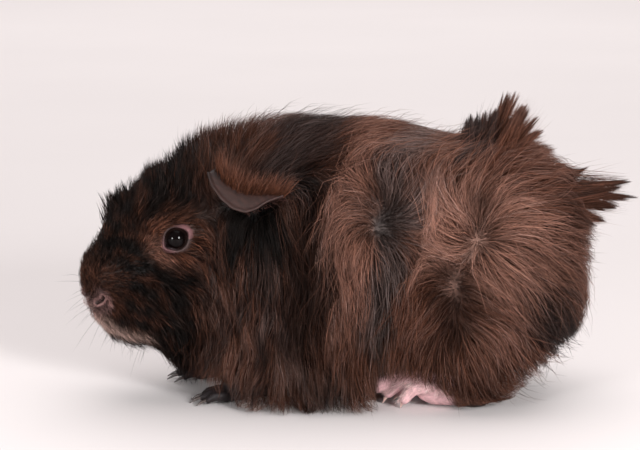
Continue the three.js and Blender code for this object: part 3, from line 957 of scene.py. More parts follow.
def grow(grid, roots, normals, length_scale, height, droop, own_stray, own_lift, stiffness=0.55):
    """The strands' paths, as an array of steps, strands and places, with each strand's length."""
    pull, length, lift = lie(roots)
    pull = turned(pull, normals, stray(roots, own_stray))
    clear = np.linalg.norm(pull, axis=1)
    lift = np.clip(lift + 0.12 * smoothstep(0.5, 0.1, clear) + own_lift, 0, 1)[:, None]
    length = length * length_scale
    floor_height = rng.uniform(0.3, 1.5, len(roots)) + 4.5 * smoothstep(42, 54, roots[:, 0])
    tall = height * coat_depth(roots) + lift[:, 0] * length * 0.35
    heading = unit(pull - dot(pull, normals) * normals * (1 - lift) + normals * (0.25 + 0.6 * lift))
    path = [roots]
    for step in range(1, STEPS + 1):
        share = step / STEPS
        place = path[-1] + heading * (length / STEPS)[:, None]
        distance, outward = around(grid, place)
        wanted = 0.35 + tall * (1 - np.exp(-share / 0.28))
        hem = HEM_FLARE * share * smoothstep(26, 4, place[:, 2])
        wanted += hem * smoothstep(-44, -34, place[:, 0]) * smoothstep(20, 10, place[:, 0])
        rise = wanted - distance
        loose = np.where(rise < 0, (1 - lift[:, 0]) ** 2 * 0.7, 1.0) * np.where(distance < 0.3, 1, 0.75)
        place = place + outward * (rise * loose)[:, None]
        splay = 1.2 * smoothstep(14, 4, place[:, 2]) * smoothstep(-46, -36, place[:, 0])
        place[:, :2] += unit(outward[:, :2]) * splay[:, None]
        place[:, 2] = np.maximum(place[:, 2], floor_height)
        pull, _, _ = lie(place)
        level = unit(pull - dot(pull, outward) * outward * (1 - lift))
        level = turned(level, outward, stray(place, own_stray))
        level = level * (1 - stiffness) + BODY_DOWN * (droop * share * (1 - lift))
        heading = unit(place - path[-1]) * stiffness + level
        flare = outward * [1, 1, 0] * smoothstep(15, 3, place[:, 2])[:, None]
        heading = unit(heading + flare * 0.6)
        path.append(place)
    return np.array(path), length


def trim(path, allowed):
    """Shortens each strand so that it ends before its first place that isn't allowed."""
    steps = len(path) - 1
    blocked = ~allowed
    first = np.where(blocked.any(0), blocked.argmax(0), steps + 0.0)
    reach = np.clip(np.where(blocked.any(0), first - 0.5, steps), 0.4, steps)
    wanted = np.linspace(0, 1, steps + 1)[:, None] * reach
    below = np.minimum(wanted.astype(int), steps - 1)
    share = (wanted - below)[..., None]
    strands = np.arange(path.shape[1])
    return path[below, strands] * (1 - share) + path[below + 1, strands] * share


def nearest_guides(roots, guides):
    """For each root, the number of the guide whose own root is nearest."""
    tree = KDTree(guides.shape[1])
    for index, place in enumerate(guides[0]):
        tree.insert(place, index)
    tree.balance()
    return np.array([tree.find(place)[1] for place in roots])


def gather(path, guides, strength, evenness=1.4):
    """Draws the strands' outer ends together into locks, each round the nearest guide."""
    nearest = nearest_guides(path[0], guides)
    share = np.linspace(0, 1, len(path))[:, None, None] ** evenness
    return path + (guides[:, nearest] - path) * share * strength[None, :, None], nearest


# For each number of sections: which of the path's places the rings and the tip are at, and how
# wide each ring is.
RINGS = {4: (0, 2, 4, 6, 9), 3: (0, 3, 6, 9), 2: (0, 4, 9)}
TAPER = {4: (0.75, 1.0, 0.95, 0.7), 3: (0.8, 1.0, 0.65), 2: (0.9, 0.75)}
RING_ANGLES = (90, 210, 330)
FLATNESS = 0.75  # a hair's thickness over its width
UV_PATCH = 0.003  # the size of each hair's place on the unwrap
# The capsule that stands in for the body on the unwrap.
CAPSULE_HEIGHT = 55
CAPSULE_HALF_LENGTH = 60
CAPSULE_RADIUS = 50


def unwrap(points):
    """A place from 0 to 1 for each point, round and along the body as on a capsule."""
    height = points[:, 2] - CAPSULE_HEIGHT
    around_body = np.arctan2(points[:, 1], -height) / (2 * math.pi) + 0.5
    middle = np.clip(points[:, 0], -CAPSULE_HALF_LENGTH, CAPSULE_HALF_LENGTH)
    cap = np.arctan2(points[:, 0] - middle, np.hypot(points[:, 1], height)) * CAPSULE_RADIUS
    half = CAPSULE_HALF_LENGTH + CAPSULE_RADIUS * math.pi / 2
    return np.stack([around_body, (middle + cap + half) / (2 * half)], 1)


def strand_corners(grid, path, widths, rings):
    """Each strand's corners: a flattened three-cornered ring at every section, then the tip."""
    centres = path[list(RINGS[rings])]
    tangents = unit(np.gradient(centres, axis=0))
    outward = around(grid, centres.reshape(-1, 3))[1].reshape(centres.shape)
    across = unit(np.cross(tangents, outward))
    upward = unit(np.cross(across, tangents))
    corners = np.empty((path.shape[1], rings * 3 + 1, 3))
    for ring in range(rings):
        half = (widths * TAPER[rings][ring] / 2)[:, None]
        for corner, angle in enumerate(RING_ANGLES):
            cos, sin = math.cos(math.radians(angle)), FLATNESS * math.sin(math.radians(angle))
            away = across[ring] * cos + upward[ring] * sin
            corners[:, ring * 3 + corner] = centres[ring] + away * half
    corners[:, -1] = centres[-1]
    return corners


def strand_faces(rings):
    """One strand's triangles: the root's cap, the walls between the rings, and the point."""
    faces = [(0, 1, 2)]
    for ring in range(rings - 1):
        for corner in range(3):
            a, b = ring * 3 + corner, ring * 3 + (corner + 1) % 3
            faces += [(a, a + 3, b + 3), (a, b + 3, b)]
    last = (rings - 1) * 3
    faces += [(last + corner, rings * 3, last + (corner + 1) % 3) for corner in range(3)]
    return np.array(faces)


def joined_strands(name, corners, faces):
    """One mesh of all the strands, and the corners' numbers of its triangles."""
    strands, per_strand = corners.shape[:2]
    starts = np.arange(strands) * per_strand
    triangles = (faces[None] + starts[:, None, None]).reshape(-1, 3)
    mesh = bpy.data.meshes.new(name)
    mesh.vertices.add(strands * per_strand)
    mesh.vertices.foreach_set("co", (corners * MM).astype(np.float32).ravel())
    mesh.loops.add(triangles.size)
    mesh.loops.foreach_set("vertex_index", triangles.astype(np.int32).ravel())
    mesh.polygons.add(len(triangles))
    mesh.polygons.foreach_set("loop_start", np.arange(0, triangles.size, 3, dtype=np.int32))
    shade_smooth(mesh)
    mesh.update(calc_edges=True)
    return mesh, triangles.ravel()


def hair_piece(
    name, grid, path, widths, tones, rings=3, root_shade=0.72, tip_sheen=1.25, slot="coat_brown"
):
    """A piece of closed tapered hairs, each with its own tone and its own place on the unwrap."""
    corners = strand_corners(grid, path, widths, rings)
    mesh, numbers = joined_strands(name, corners, strand_faces(rings))
    along = np.append(np.repeat(np.array(RINGS[rings][:-1]) / STEPS, 3), 1.0)
    side = np.append(np.tile([0.5, 0.0, 1.0], rings), 0.5)
    patch = np.stack([side, along], 1) * UV_PATCH
    places = unwrap(path[0]) * (1 - UV_PATCH)
    uv = (places[:, None] + patch[None]).reshape(-1, 2)[numbers]
    layer = mesh.uv_layers.new(name="OFBake")
    layer.data.foreach_set("uv", uv.astype(np.float32).ravel())
    colours = [shade_along(tones, share, root_shade, tip_sheen) for share in along]
    paint(mesh, np.stack(colours, 1).reshape(-1, 3))
    thing = link(name, mesh)
    thing.data.materials.append(HAIR)
    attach(thing, "root")
    return thing


def shade_along(tones, share, root_shade, tip_sheen):
    """A hair's colour: painted shade near its root, full in the middle, and a paler, greyer painted sheen
    near its tip.
    """
    root = mix(tones * root_shade, SLATE, 0.02)
    colour = mix(root, tones, float(smoothstep(0.0, 0.45, share)))
    greyer = mix(tones, tones.mean(1, keepdims=True), 0.22) * tip_sheen
    return mix(colour, greyer, float(smoothstep(0.45, 1.0, share)))


def behind_face(points):
    """How far back from the face a point is, and further back on the top of the head."""
    head = to_head(points)
    return head[:, 0] + 0.25 * np.abs(head[:, 1]) + 0.8 * np.maximum(head[:, 2] - 20, 0)


def hairiness(points, normals):
    """How densely the long coat grows."""
    long_coat = smoothstep(-30, -18, behind_face(points))
    under = mix(0.35, 1.0, smoothstep(-0.9, -0.4, normals[:, 2]))
    return long_coat * under * (1 - bareness(points)) * (1 + 2.4 * near_whorls(points))


def near_whorls(points):
    """1 at the middle of a whorl, where one layer of hair has to cover the skin."""
    partings = [np.array([start, end], float)[:, ::2] for start, end, *_ in WHORLS]
    nearest = np.min([segment_distance(points[:, ::2], parting) for parting in partings], axis=0)
    return np.exp(-((nearest / 7) ** 2)) * (np.abs(points[:, 1]) > 12)


def bareness(points):
    """1 where there is bare skin: the lids, the nose and the feet."""
    bare = np.zeros(len(points))
    for side in SIDES.values():
        ring, height, angle = eye_ring(points, side)
        edge = 1.15 + 0.2 * np.exp(-(((angle - 140) / 50) ** 2))
        edge = edge + 0.1 * np.exp(-(((angle + 40) / 30) ** 2))
        bare = np.maximum(bare, (ring < edge) * (height > -4) * (height < 9))
    bare = np.maximum(bare, nose_distance(to_head(points)) < 0.8)
    bare = np.maximum(bare, on_hind_feet(points))
    return np.maximum(bare, (points[:, 2] < 9) & (points[:, 0] < -42))


def on_hind_feet(points):
    """Whether each point is on a hind foot, as far up as it is bare."""
    x, y, z = points.T
    top = 14 - 0.35 * np.maximum(x - 32, 0)
    return (z < top) & (x > 10) & (x < 46) & (np.abs(y) > 17)


def face_hairiness(points, normals):
    """How densely the short hair of the face grows."""
    return smoothstep(-12, -24, behind_face(points)) * (1 - bareness(points)) * (points[:, 2] > 10)


OUTLINE_SLOPE = 0.17  # how much lower the outline runs for each millimetre to the animal's right
FOREFEET = [(-54, -24), (-66, 17)]  # x and y of their middles
LOOSE_FRINGE = 9.0  # how far thin hairs may pass the outline


def open_space(path, fringe=3.5):
    """Where strands may be: inside the coat's outline, off the eyes, and above the feet."""
    flat = path.reshape(-1, 3)
    x, y, z = flat.T
    strand_jag = np.tile(rng.random(path.shape[1]), len(path))
    at_ruff = smoothstep(-82, -72, path[0][:, 0]) * smoothstep(-20, -40, path[0][:, 0])
    lock_jag = np.tile(mix(1.1, 2.4, at_ruff) * noise(path[0], 9, 41), len(path))
    allowed = np.ones(len(flat), bool)
    for side in SIDES.values():
        ring, height, _ = eye_ring(flat, side)
        allowed &= ~((ring < 1.12) & (height > -1) & (height < 12))
    over = fringe * (strand_jag**3 - 0.25) + lock_jag
    allowed &= z + OUTLINE_SLOPE * y < np.interp(x, *TOP_LINE.T) + over
    allowed &= x < np.interp(z, *REAR_LINE.T) + over
    allowed &= x > np.interp(z, *FACE_LINE.T) - over
    at_hind_foot = (x > 13 + 3 * strand_jag) & (x < 44 - 4 * strand_jag) & (np.abs(y) > 17)
    allowed &= ~(at_hind_foot & (z < 11 + 4 * strand_jag - 0.4 * np.maximum(x - 32, 0)))
    for foot_x, foot_y in FOREFEET:
        at_forefoot = (np.abs(x - foot_x) < 10) & (np.abs(y - foot_y) < 11)
        allowed &= ~(at_forefoot & (z < 9.5 + 3 * strand_jag))
    return allowed.reshape(path.shape[:2])


# The coat's pieces from front to rear, with each one's slot: the outer hair, then the hair under it.
OUTER_COAT = {
    "coat_mane": "coat_dark",
    "coat_shoulder": "coat_brown",
    "coat_flank": "coat_brown",
    "coat_loin": "coat_warm",
    "coat_haunch": "coat_warm",
}
UNDER_COAT = {"undercoat_front": "coat_dark", "undercoat_rear": "coat_warm"}
OUTER_LAYER = 0.58  # hairs whose layer is over this belong to the outer coat


def make_guides(grid, count, density, droop, liveliness):
    """The locks' middle strands."""
    roots, normals = random_roots(skin.data, count, density)
    lift = np.where(rng.random(count) < 0.14, rng.uniform(0.1, 0.35, count), 0) * liveliness
    astray = rng.normal(0, 9, count)
    length, height = rng.uniform(0.75, 1.15, count), rng.uniform(0.6, 1.08, count)
    return grow(grid, roots, normals, length, height, droop, astray, lift)[0]


def streaked_tones(path, ragged, hue):
    """The coat's markings, with slate and warm streaks down the mane by each tuft's hue."""
    roots = path[0]
    tones = coat_colour_and_shade(mix(roots, path[5], 0.5))
    streaked = ragged * smoothstep(74, 62, roots[:, 2]) * smoothstep(-16, -26, roots[:, 0])
    tones = mix(tones, SLATE * 0.6, (0.75 * streaked * (hue < 0.25))[:, None])
    return mix(tones, WARM * 0.6, (0.7 * streaked * (hue > 0.74))[:, None])


def make_coat(grid, count):
    """The long coat of neck, body and legs, as pieces from front to rear in two layers."""
    locks = make_guides(grid, COAT_LOCKS, hairiness, 0.3, 1)
    tufts = make_guides(grid, COAT_TUFTS, hairiness, 0.3, 1)
    roots, normals = random_roots(skin.data, count, hairiness)
    ragged = in_mane(roots)
    # The layer is 0.3 deep in the coat and 1.12 at its outside, and tufts of the mane share theirs.
    tuft_layer = rng.uniform(0.3, 1.12, len(tufts[0]))[nearest_guides(roots, tufts)]
    layer = mix(rng.uniform(0.3, 1.12, count), tuft_layer, mix(0.25, 0.7, ragged))
    wild = rng.random(count) < 0.09
    astray = rng.normal(0, 8, count) + wild * rng.normal(0, 28, count)
    whorl = near_whorls(roots)
    own_length = rng.uniform(0.55, 1.1, count) * (1 - 0.5 * whorl**6)
    path, length = grow(grid, roots, normals, own_length, layer, 0.3, astray, 0)
    loose = np.where(wild, 0.2, 1.0)
    path, tuft = gather(path, tufts, loose * mix(0.2, 0.8, ragged), mix(1.8, 1.2, ragged)[:, None])
    path, lock = gather(path, locks, loose * rng.uniform(0.2, 0.55, count) * mix(0.8, 1.35, ragged), 1.3)
    path = trim(path, open_space(path))
    tones = streaked_tones(path, ragged, rng.random(len(tufts[0]))[tuft])
    draws = [
        mix(0.8, 1.6, ragged) * rng.normal(0, 0.15, len(tufts[0]))[tuft],
        rng.normal(0, 0.15, len(locks[0]))[lock],
        rng.normal(0, 0.36, count),
    ]
    # Painted shade: strands deep in the coat are darker and those at its outside lighter, more so in the
    # mane, and strands at the whorls' middles are darker, with darker roots near them.
    depth = smoothstep(0.35, 0.95, layer)
    shade = mix(mix(0.75, 0.42, ragged), mix(1.12, 1.2, ragged), depth) * (1 - 0.6 * whorl**4)
    root_shade = mix(0.72, 0.45, whorl)[:, None]
    uneven = np.minimum(unevenness(tones, *draws), 2.4)
    tones *= uneven * shade[:, None]
    # The brightest strands are greyed a little, as a painted sheen.
    tones = mix(tones, tones.mean(1, keepdims=True), 0.35 * smoothstep(1.1, 2.2, uneven))
    widths = rng.uniform(0.19, 0.37, count) * np.clip(length / 24, 0.6, 1)
    widths = widths * mix(1.15, 0.85, layer) * (1 - 0.2 * whorl)
    order = np.argsort(roots[:, 0] + 0.3 * rng.normal(size=count))
    is_outer = layer[order] > OUTER_LAYER
    layers = ((OUTER_COAT, order[is_outer], 3), (UNDER_COAT, order[~is_outer], 2))
    for slots, chosen, rings in layers:
        for (name, slot), part in zip(slots.items(), np.array_split(chosen, len(slots))):
            looks = widths[part], tones[part], rings, root_shade[part]
            hair_piece(name, grid, path[:, part], *looks, slot=slot)


def guard_hairiness(points, normals):
    """How densely the guard hairs grow: hardly at the whorls and near the floor."""
    clear = (1 - bareness(points)) * (1 - 0.95 * near_whorls(points))
    return clear * smoothstep(8, 30, points[:, 2])


def make_guard_hairs(grid, count):
    """Long thin hairs that stand out a little, all over, and blur the outline."""
    roots, normals = random_roots(skin.data, count, guard_hairiness)
    lift = rng.uniform(0.1, 0.5, count)
    own_length, layer = rng.uniform(0.7, 1.2, count), rng.uniform(0.9, 1.2, count)
    astray = rng.normal(0, 22, count)
    path = grow(grid, roots, normals, own_length, layer, 0.15, astray, lift)[0]
    path = trim(path, open_space(path, LOOSE_FRINGE))
    tones = coat_colour_and_shade(roots) * np.exp(rng.normal(0, 0.3, count))[:, None]
    hair_piece("guard_hairs", grid, path, rng.uniform(0.13, 0.24, count), tones, 3)


def make_face_fur(grid, count):
    """The short fur of the face, part of it on end, with a few bright hairs as painted highlights."""
    locks = make_guides(grid, FACE_LOCKS, face_hairiness, 0.1, 0.5)
    roots, normals = random_roots(skin.data, count, face_hairiness)
    own_length, layer = rng.uniform(0.7, 1.2, count), rng.uniform(0.3, 1.0, count)
    astray = rng.normal(0, 12, count)
    lift = np.where(rng.random(count) < 0.55, rng.uniform(0.25, 0.85, count), 0)
    path, length = grow(grid, roots, normals, own_length, layer, 0.1, astray, lift)
    path, lock = gather(path, locks, rng.uniform(0.2, 0.6, count))
    path = trim(path, open_space(path))
    tones = coat_colour_and_shade(roots)
    # About one hair in seven is made paler and greyer, as painted highlights.
    bright = rng.random(count) < 0.14
    draws = [rng.normal(0, 0.32, len(locks[0]))[lock], rng.normal(0, 0.36, count)]
    tones *= np.minimum(unevenness(tones, *draws), 2.2)
    tones = tones * np.where(bright, 1.7, 0.9)[:, None] + SLATE * (0.16 * bright)[:, None]
    widths = np.clip(0.12 + 0.015 * length, 0.15, 0.34) * rng.uniform(0.8, 1.2, count)
    side = to_head(roots)[:, 1] > 0
    for name, part in (("face_fur_left", ~side), ("face_fur_right", side)):
        hair_piece(name, grid, path[:, part], widths[part], tones[part], 2, 0.6, 1.1, "coat_dark")


# Tufts that stand clear of the body: middle of the base, half size of the base, lean of the hair,
# how the lean fans out over the base, hair length, strands, locks.
PLUMES = {
    "rump_crest": ((62, 0, 99), (12, 15, 14), (0.45, 0, 0.9), (0.3, 0.35, 0.1), 37, 6000, 90),
    "tail_tuft": ((87, 0, 82), (8, 17, 9), (1, -0.05, 0.10), (0.1, 0.2, 0.24), 36, 4800, 40),
    "crown_tuft": ((-88, -6, 77), (10, 9, 8), (-0.15, 0, 1), (0.4, 0.3, 0.1), 15, 2400, 50),
}
# Where the locks of two of them end, as x and z, and which way over the base they are set out.
PLUME_TIPS = {
    "rump_crest": (
        [(55, 117), (60, 119), (66, 121), (72, 127), (77, 121.5), (81, 116.5), (85, 111), (89, 103)],
        (1, 0, 0),
    ),
    "tail_tuft": (
        [(105, 67), (109, 73), (116, 77.5), (122, 82), (121.5, 89.5), (104, 95.5)],
        (0, 0, 1),
    ),
}
PLUME_LIMIT = np.array([133, 60, 139])  # the hair of those two goes no further back, out or up
WISP_SHARE = 0.16  # how many of their hairs are thin, long and loose


def pointed_locks(name, guides, normals, place):
    """Locks from the same roots to the plume's tips, each to the tip that it is nearest in order."""
    tips, across = PLUME_TIPS[name]
    spot = place @ across + rng.normal(0, 0.05, len(place))
    order = np.interp(spot, [-0.65, 0.65], [0, len(tips) - 1])
    ends = np.array(tips)[np.rint(order).astype(int)] + rng.normal(0, [1.8, 0.6], (len(place), 2))
    y = 0.7 * guides[0][:, 1]
    height = ends[:, 1] - OUTLINE_SLOPE * y - 0.01 * y**2
    ends = np.stack([ends[:, 0] - 0.015 * y**2, y, height], 1)
    reach = np.linalg.norm(ends - guides[0], axis=1, keepdims=True)
    bend = mix(guides[0], ends, 0.35) + normals * reach * 0.12
    share = np.linspace(0, 1, len(guides))[:, None, None]
    return mix(mix(guides[0], bend, share), mix(bend, ends, share), share)


def from_roots(strands, share):
    """The strands made longer or shorter by a share, from their roots."""
    return strands[0] + (strands - strands[0]) * share[:, None]


def point_plume(strands, guides, wisps):
    """Draws a plume's strands into its pointed locks, apart from the wisps."""
    lock = nearest_guides(strands[0], guides)
    reach = np.linalg.norm(guides[-1] - guides[0], axis=1)[lock] * rng.uniform(0.4, 1.02, len(lock))
    reach = reach * mix(1, 1.2, wisps)
    strands = from_roots(strands, reach / np.linalg.norm(strands[-1] - strands[0], axis=1))
    strength = np.where(wisps, 0.15, 1 - rng.uniform(0, 0.5, len(lock)) ** 1.8)
    strands, lock = gather(strands, guides, strength, 0.6)
    travel = strands[-1] - strands[0]
    room = np.where(travel > 0, (PLUME_LIMIT - strands[0]) / np.maximum(travel, 1), 1).min(1)
    return from_roots(strands, np.clip(room, 0, 1)), lock


def make_plume(grid, name):
    """One tuft that stands clear of the body, in the place of its solid."""
    middle, size, lean, fan, length, count, lock_count = PLUMES[name]
    total = count + lock_count

    def near_base(points, normals):
        """How densely the tuft grows: most at the middle of its base."""
        return np.exp(-2.2 * (((points - middle) / size) ** 2).sum(1)) * (normals[:, 2] > -0.2)

    roots, normals = random_roots(skin.data, total, near_base)
    place = np.clip((roots - middle) / size, -1.3, 1.3)
    heading = unit(np.array(lean) + place * fan + rng.normal(0, 0.11, (total, 3)))
    edge = np.exp(-0.35 * (place**2).sum(1))
    reach = length * edge * rng.uniform(0.6, 1.12, total)
    reach[count:] = length * edge[count:] * rng.uniform(0.7, 1.3, lock_count)
    path = [roots]
    for step in range(1, STEPS + 1):
        share = step / STEPS
        direction = unit(mix(normals * 0.4 + heading, heading + BODY_DOWN * 0.12, share))
        path.append(path[-1] + direction * (reach / STEPS)[:, None])
    path = np.array(path)
    strands, guides = path[:, :count], path[:, count:]
    wisps = np.zeros(count, bool)
    if name in PLUME_TIPS:
        guides = pointed_locks(name, guides, normals[count:], place[count:])
        wisps = rng.random(count) < WISP_SHARE
        strands, lock = point_plume(strands, guides, wisps)
    else:
        strands, lock = gather(strands, guides, rng.uniform(0.45, 0.92, count), 1.1)
        strands = trim(strands, open_space(strands, LOOSE_FRINGE))
    spot = np.exp(rng.normal(0, 0.25, lock_count))[lock] * np.exp(rng.normal(0, 0.35, count))
    tones = coat_colour_and_shade(mix(roots[:count], strands[5], 0.6)) * spot[:, None]
    slot = "coat_dark" if name == "crown_tuft" else "coat_brown"
    widths = rng.uniform(0.24, 0.42, count) * np.where(wisps, 0.5, 1)
    piece = hair_piece(name, grid, strands, widths, tones, 3, slot=slot)
    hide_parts(name)


# ---- Eyes, ears, claws and whiskers -------------------------------------------------------------


def make_eyes():
    """Wet dark balls with a brown rim, and a sliver of white at the front corner."""
    material, nodes, links, shader = new_material("wet_eye")
    variation = spread(nodes, links, grain(nodes, links, 900), 0.8, 1.2)
    links.new(painted(nodes, links, variation), shader.inputs["Base Color"])
    shader.inputs["Roughness"].default_value = 0.05
    shader.inputs["Specular IOR Level"].default_value = 0.11
    for side_name, side in SIDES.items():
        centre, _, _, _ = eye_frame(side)
        bm = bmesh.new()
        where = Matrix.Translation(Vector(centre * MM))
        radius = EYE_RADIUS * MM
        bmesh.ops.create_uvsphere(bm, u_segments=48, v_segments=32, radius=radius, matrix=where)
        eye = from_bmesh("eyeball_" + side_name, bm)
        shade_smooth(eye.data)
        ring, _, angle = eye_ring(vertices_mm(eye.data), side)
        sliver = smoothstep(0.80, 0.92, ring) * np.exp(-(((angle + 48) / 30) ** 2))
        brown = smoothstep(0.72, 0.9, ring)
        tones = mix(EYE_BLACK, EYE_BROWN, brown[:, None])
        paint(eye.data, mix(tones, EYE_WHITE, sliver[:, None]))
        eye.data.materials.append(material)
        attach(eye, "root")
        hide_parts("eye_" + side_name)


def along_line(corners, share):
    """Places along a line of corners, which are evenly shared from 0 to 1."""
    spots = np.linspace(0, 1, len(corners))
    return np.stack([np.interp(share, spots, corners[:, axis]) for axis in range(3)], -1)


def ear_place(across, down):
    """Where a place on the ear's flat grid, from -1 to 1 both ways, lies on the left ear."""
    from_front, from_root = (across + 1) / 2, 0.7 * (down + 1) - 0.4
    from_top = max(from_root, 0)
    top, edge = along_line(EAR_TOP, from_front), along_line(EAR_EDGE, from_front)
    place = mix(top, edge, from_top) + EAR_ROOT * max(-from_root, 0) / 0.4
    bulge = 2.2 * math.sin(math.pi * min(from_top, 0.85))
    bulge *= abs(math.sin(math.pi * from_front)) ** 0.5
    roll = 1.4 * smoothstep(0.72, 1.0, from_top)
    return place + [0, -bulge - roll, 0.9 * roll + 0.5 * math.sin(9 * from_front) * from_top]


def ear_tones(points, side):
    """Grey with a reddish middle, a paler edge and a shaded top."""
    low, high = points.min(0), points.max(0)
    height = (points[:, 2] - low[2]) / (high[2] - low[2])
    edge = on_side(along_line(EAR_EDGE, np.linspace(0, 1, 40)), side, RIGHT_EAR_SHIFT)
    from_edge = segment_distance(points, edge)
    tones = mix(EAR_GREY, EAR_RED, (smoothstep(1.5, 6, from_edge) * 0.9)[:, None])
    tones = mix(tones, EAR_GREY * 1.4, smoothstep(1.5, 0.5, from_edge)[:, None])
    tones = mix(tones * 0.4, tones, smoothstep(1.0, 0.6, height)[:, None])
    return tones * (1 + 0.2 * noise(points, 3.5, 23))[:, None]


def make_ears():
    """Petals that leave the hair, bulge outward and droop to a rolled edge."""
    material = skin_material("ear_skin", 0.55)
    for side_name, side in SIDES.items():
        bm = bmesh.new()
        bmesh.ops.create_grid(bm, x_segments=40, y_segments=28, size=1)
        for vert in bm.verts:
            place = ear_place(vert.co.x, vert.co.y)
            vert.co = Vector(on_side(place, side, RIGHT_EAR_SHIFT) * MM)
        bmesh.ops.recalc_face_normals(bm, faces=bm.faces)
        bmesh.ops.solidify(bm, geom=bm.faces, thickness=EAR_THICKNESS * MM)
        ear = from_bmesh("ear_petal_" + side_name, bm)
        remeshed(ear, EAR_VOXEL)
        points = relax(vertices_mm(ear.data), edges_of(ear.data), 5)
        set_vertices_mm(ear.data, points)
        shade_smooth(ear.data)
        paint(ear.data, ear_tones(points, side))
        ear.data.materials.append(material)
        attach(ear, "root")
        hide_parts("ear_" + side_name)


def make_ear_fringe(grid, count):
    """Hair that stands before the ears' tops, and short down over the petals."""
    roots, headings, lengths, tones = [], [], [], []
    for side in SIDES.values():
        spots, down = rng.random(count), rng.random(count)
        top, edge = along_line(EAR_TOP, spots), along_line(EAR_EDGE, spots)
        is_down = rng.random(count) < 0.35
        from_top = np.where(is_down, down * 0.95, 0.02 + 0.3 * down**2)
        place = mix(top, edge, from_top[:, None]) + [0, -1.6, 0]
        up = np.stack([0.1 + 0.5 * spots, np.full(count, -0.12), np.ones(count)], 1)
        up = up + rng.normal(0, 0.18, (count, 3))
        fall = np.stack([0.5 + spots, np.full(count, -0.25), np.full(count, -0.6)], 1)
        fall = fall + rng.normal(0, 0.3, (count, 3))
        roots.append(on_side(place, side, RIGHT_EAR_SHIFT))
        headings.append(on_side(unit(np.where(is_down[:, None], fall, up)), side))
        lengths.append(np.where(is_down, rng.uniform(1.0, 2.0, count), rng.uniform(6, 13, count)))
        tone = np.where(is_down[:, None], EAR_GREY * 1.6, CHOCOLATE)
        tones.append(tone * np.exp(rng.normal(0, 0.3, count))[:, None])
    roots, headings, lengths = map(np.concatenate, (roots, headings, lengths))
    path = curved_hairs(roots, headings, lengths, 0.1)
    widths = rng.uniform(0.16, 0.3, len(roots))
    hair_piece("ear_fringe", grid, path, widths, np.concatenate(tones), 2)


def make_claws():
    """Curved claws from the toes' ends to the floor, pale behind and dark in front."""
    pale = mottled_material("pale_claw", PALE_CLAW, 0.35, 0.2, 500)
    dark = mottled_material("dark_claw", DARK_CLAW, 0.35, 0.4, 400)
    for kind, radius, material in (("hind", 1.25, pale), ("fore", 0.85, dark)):
        bm = bmesh.new()
        for side in SIDES.values():
            for toe in toes_of(kind, side):
                _, joint, root, tip = toe
                start = mix(root, joint, 0.35)
                bend = mix(root, tip, 0.5) + [0, 0, 0.55]
                limb(bm, start, bend, radius, radius * 0.72)
                limb(bm, bend, tip, radius * 0.72, 0.28)
        claws = from_bmesh(kind + "_claws", bm)
        remeshed(claws, CLAW_VOXEL)
        points = relax(vertices_mm(claws.data), edges_of(claws.data), 4)
        points[:, 2] = np.maximum(points[:, 2], LOWEST_SKIN)
        set_vertices_mm(claws.data, points)
        shade_smooth(claws.data)
        claws.data.materials.append(material)
        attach(claws, "root")


def curved_hairs(roots, directions, lengths, sag):
    """Free hairs that bow a little and sag towards their tips."""
    path = [roots]
    bow = rng.normal(0, 0.12, roots.shape)
    for step in range(1, STEPS + 1):
        share = step / STEPS
        heading = unit(directions + bow * share + BODY_DOWN * sag * share)
        path.append(path[-1] + heading * (lengths / STEPS)[:, None])
    return np.array(path)


def whiskers_of(side):
    """One side's free hairs in the head's own axes, each as its root, direction and length."""
    hairs = []

    def add(root, direction, length):
        """Sets out one hair, given for the right side."""
        hairs.append((np.array(root) * [1, side, 1], np.array(direction) * [1, side, 1], length))

    for row in range(WHISKER_ROWS):
        for place in range(WHISKERS_A_ROW):
            root = [-58 + 2.6 * place + 0.8 * row, 8.5 + 1.5 * place, -13 - 3.0 * row]
            root = root + rng.normal(0, 0.5, 3)
            direction = [-1.1 + 0.5 * place, 0.8, 0.1 - 0.25 * row] + rng.normal(0, 0.16, 3)
            add(root, direction, rng.uniform(15, 27))
    for _ in range(BROW_HAIRS):
        root = [-37, 17, 22] + rng.normal(0, 1.5, 3)
        direction = [0.1, 0.7, 0.8] + rng.normal(0, 0.2, 3)
        add(root, direction, rng.uniform(7, 12))
    for _ in range(CHIN_HAIRS):
        root = [rng.uniform(-56, -36), rng.uniform(2, 12), -32]
        direction = [-0.35, 0.25, -1] + rng.normal(0, 0.3, 3)
        add(root, direction, rng.uniform(5, 22) * rng.uniform(0.6, 1))
    return hairs


def make_whiskers(grid):
    """Whiskers from the lips, a few over the eyes, and the long hairs of the chin."""
    hairs = [hair for side in SIDES.values() for hair in whiskers_of(side)]
    roots, directions, lengths = (np.array(column) for column in zip(*hairs))
    roots = on_head(roots)
    distance, outward = around(grid, roots)
    roots = roots - outward * (distance + 0.3)[:, None]
    path = curved_hairs(roots, unit(turn_to_row(directions)), lengths, 0.35)
    path = trim(path, (path[..., 2] > 0.8) & (path[..., 0] > WHISKER_LIMIT))
    tones = np.tile(SABLE * 0.4, (len(roots), 1))
    hair_piece("whiskers", grid, path, np.full(len(roots), 0.13), tones, 4, slot="coat_dark")


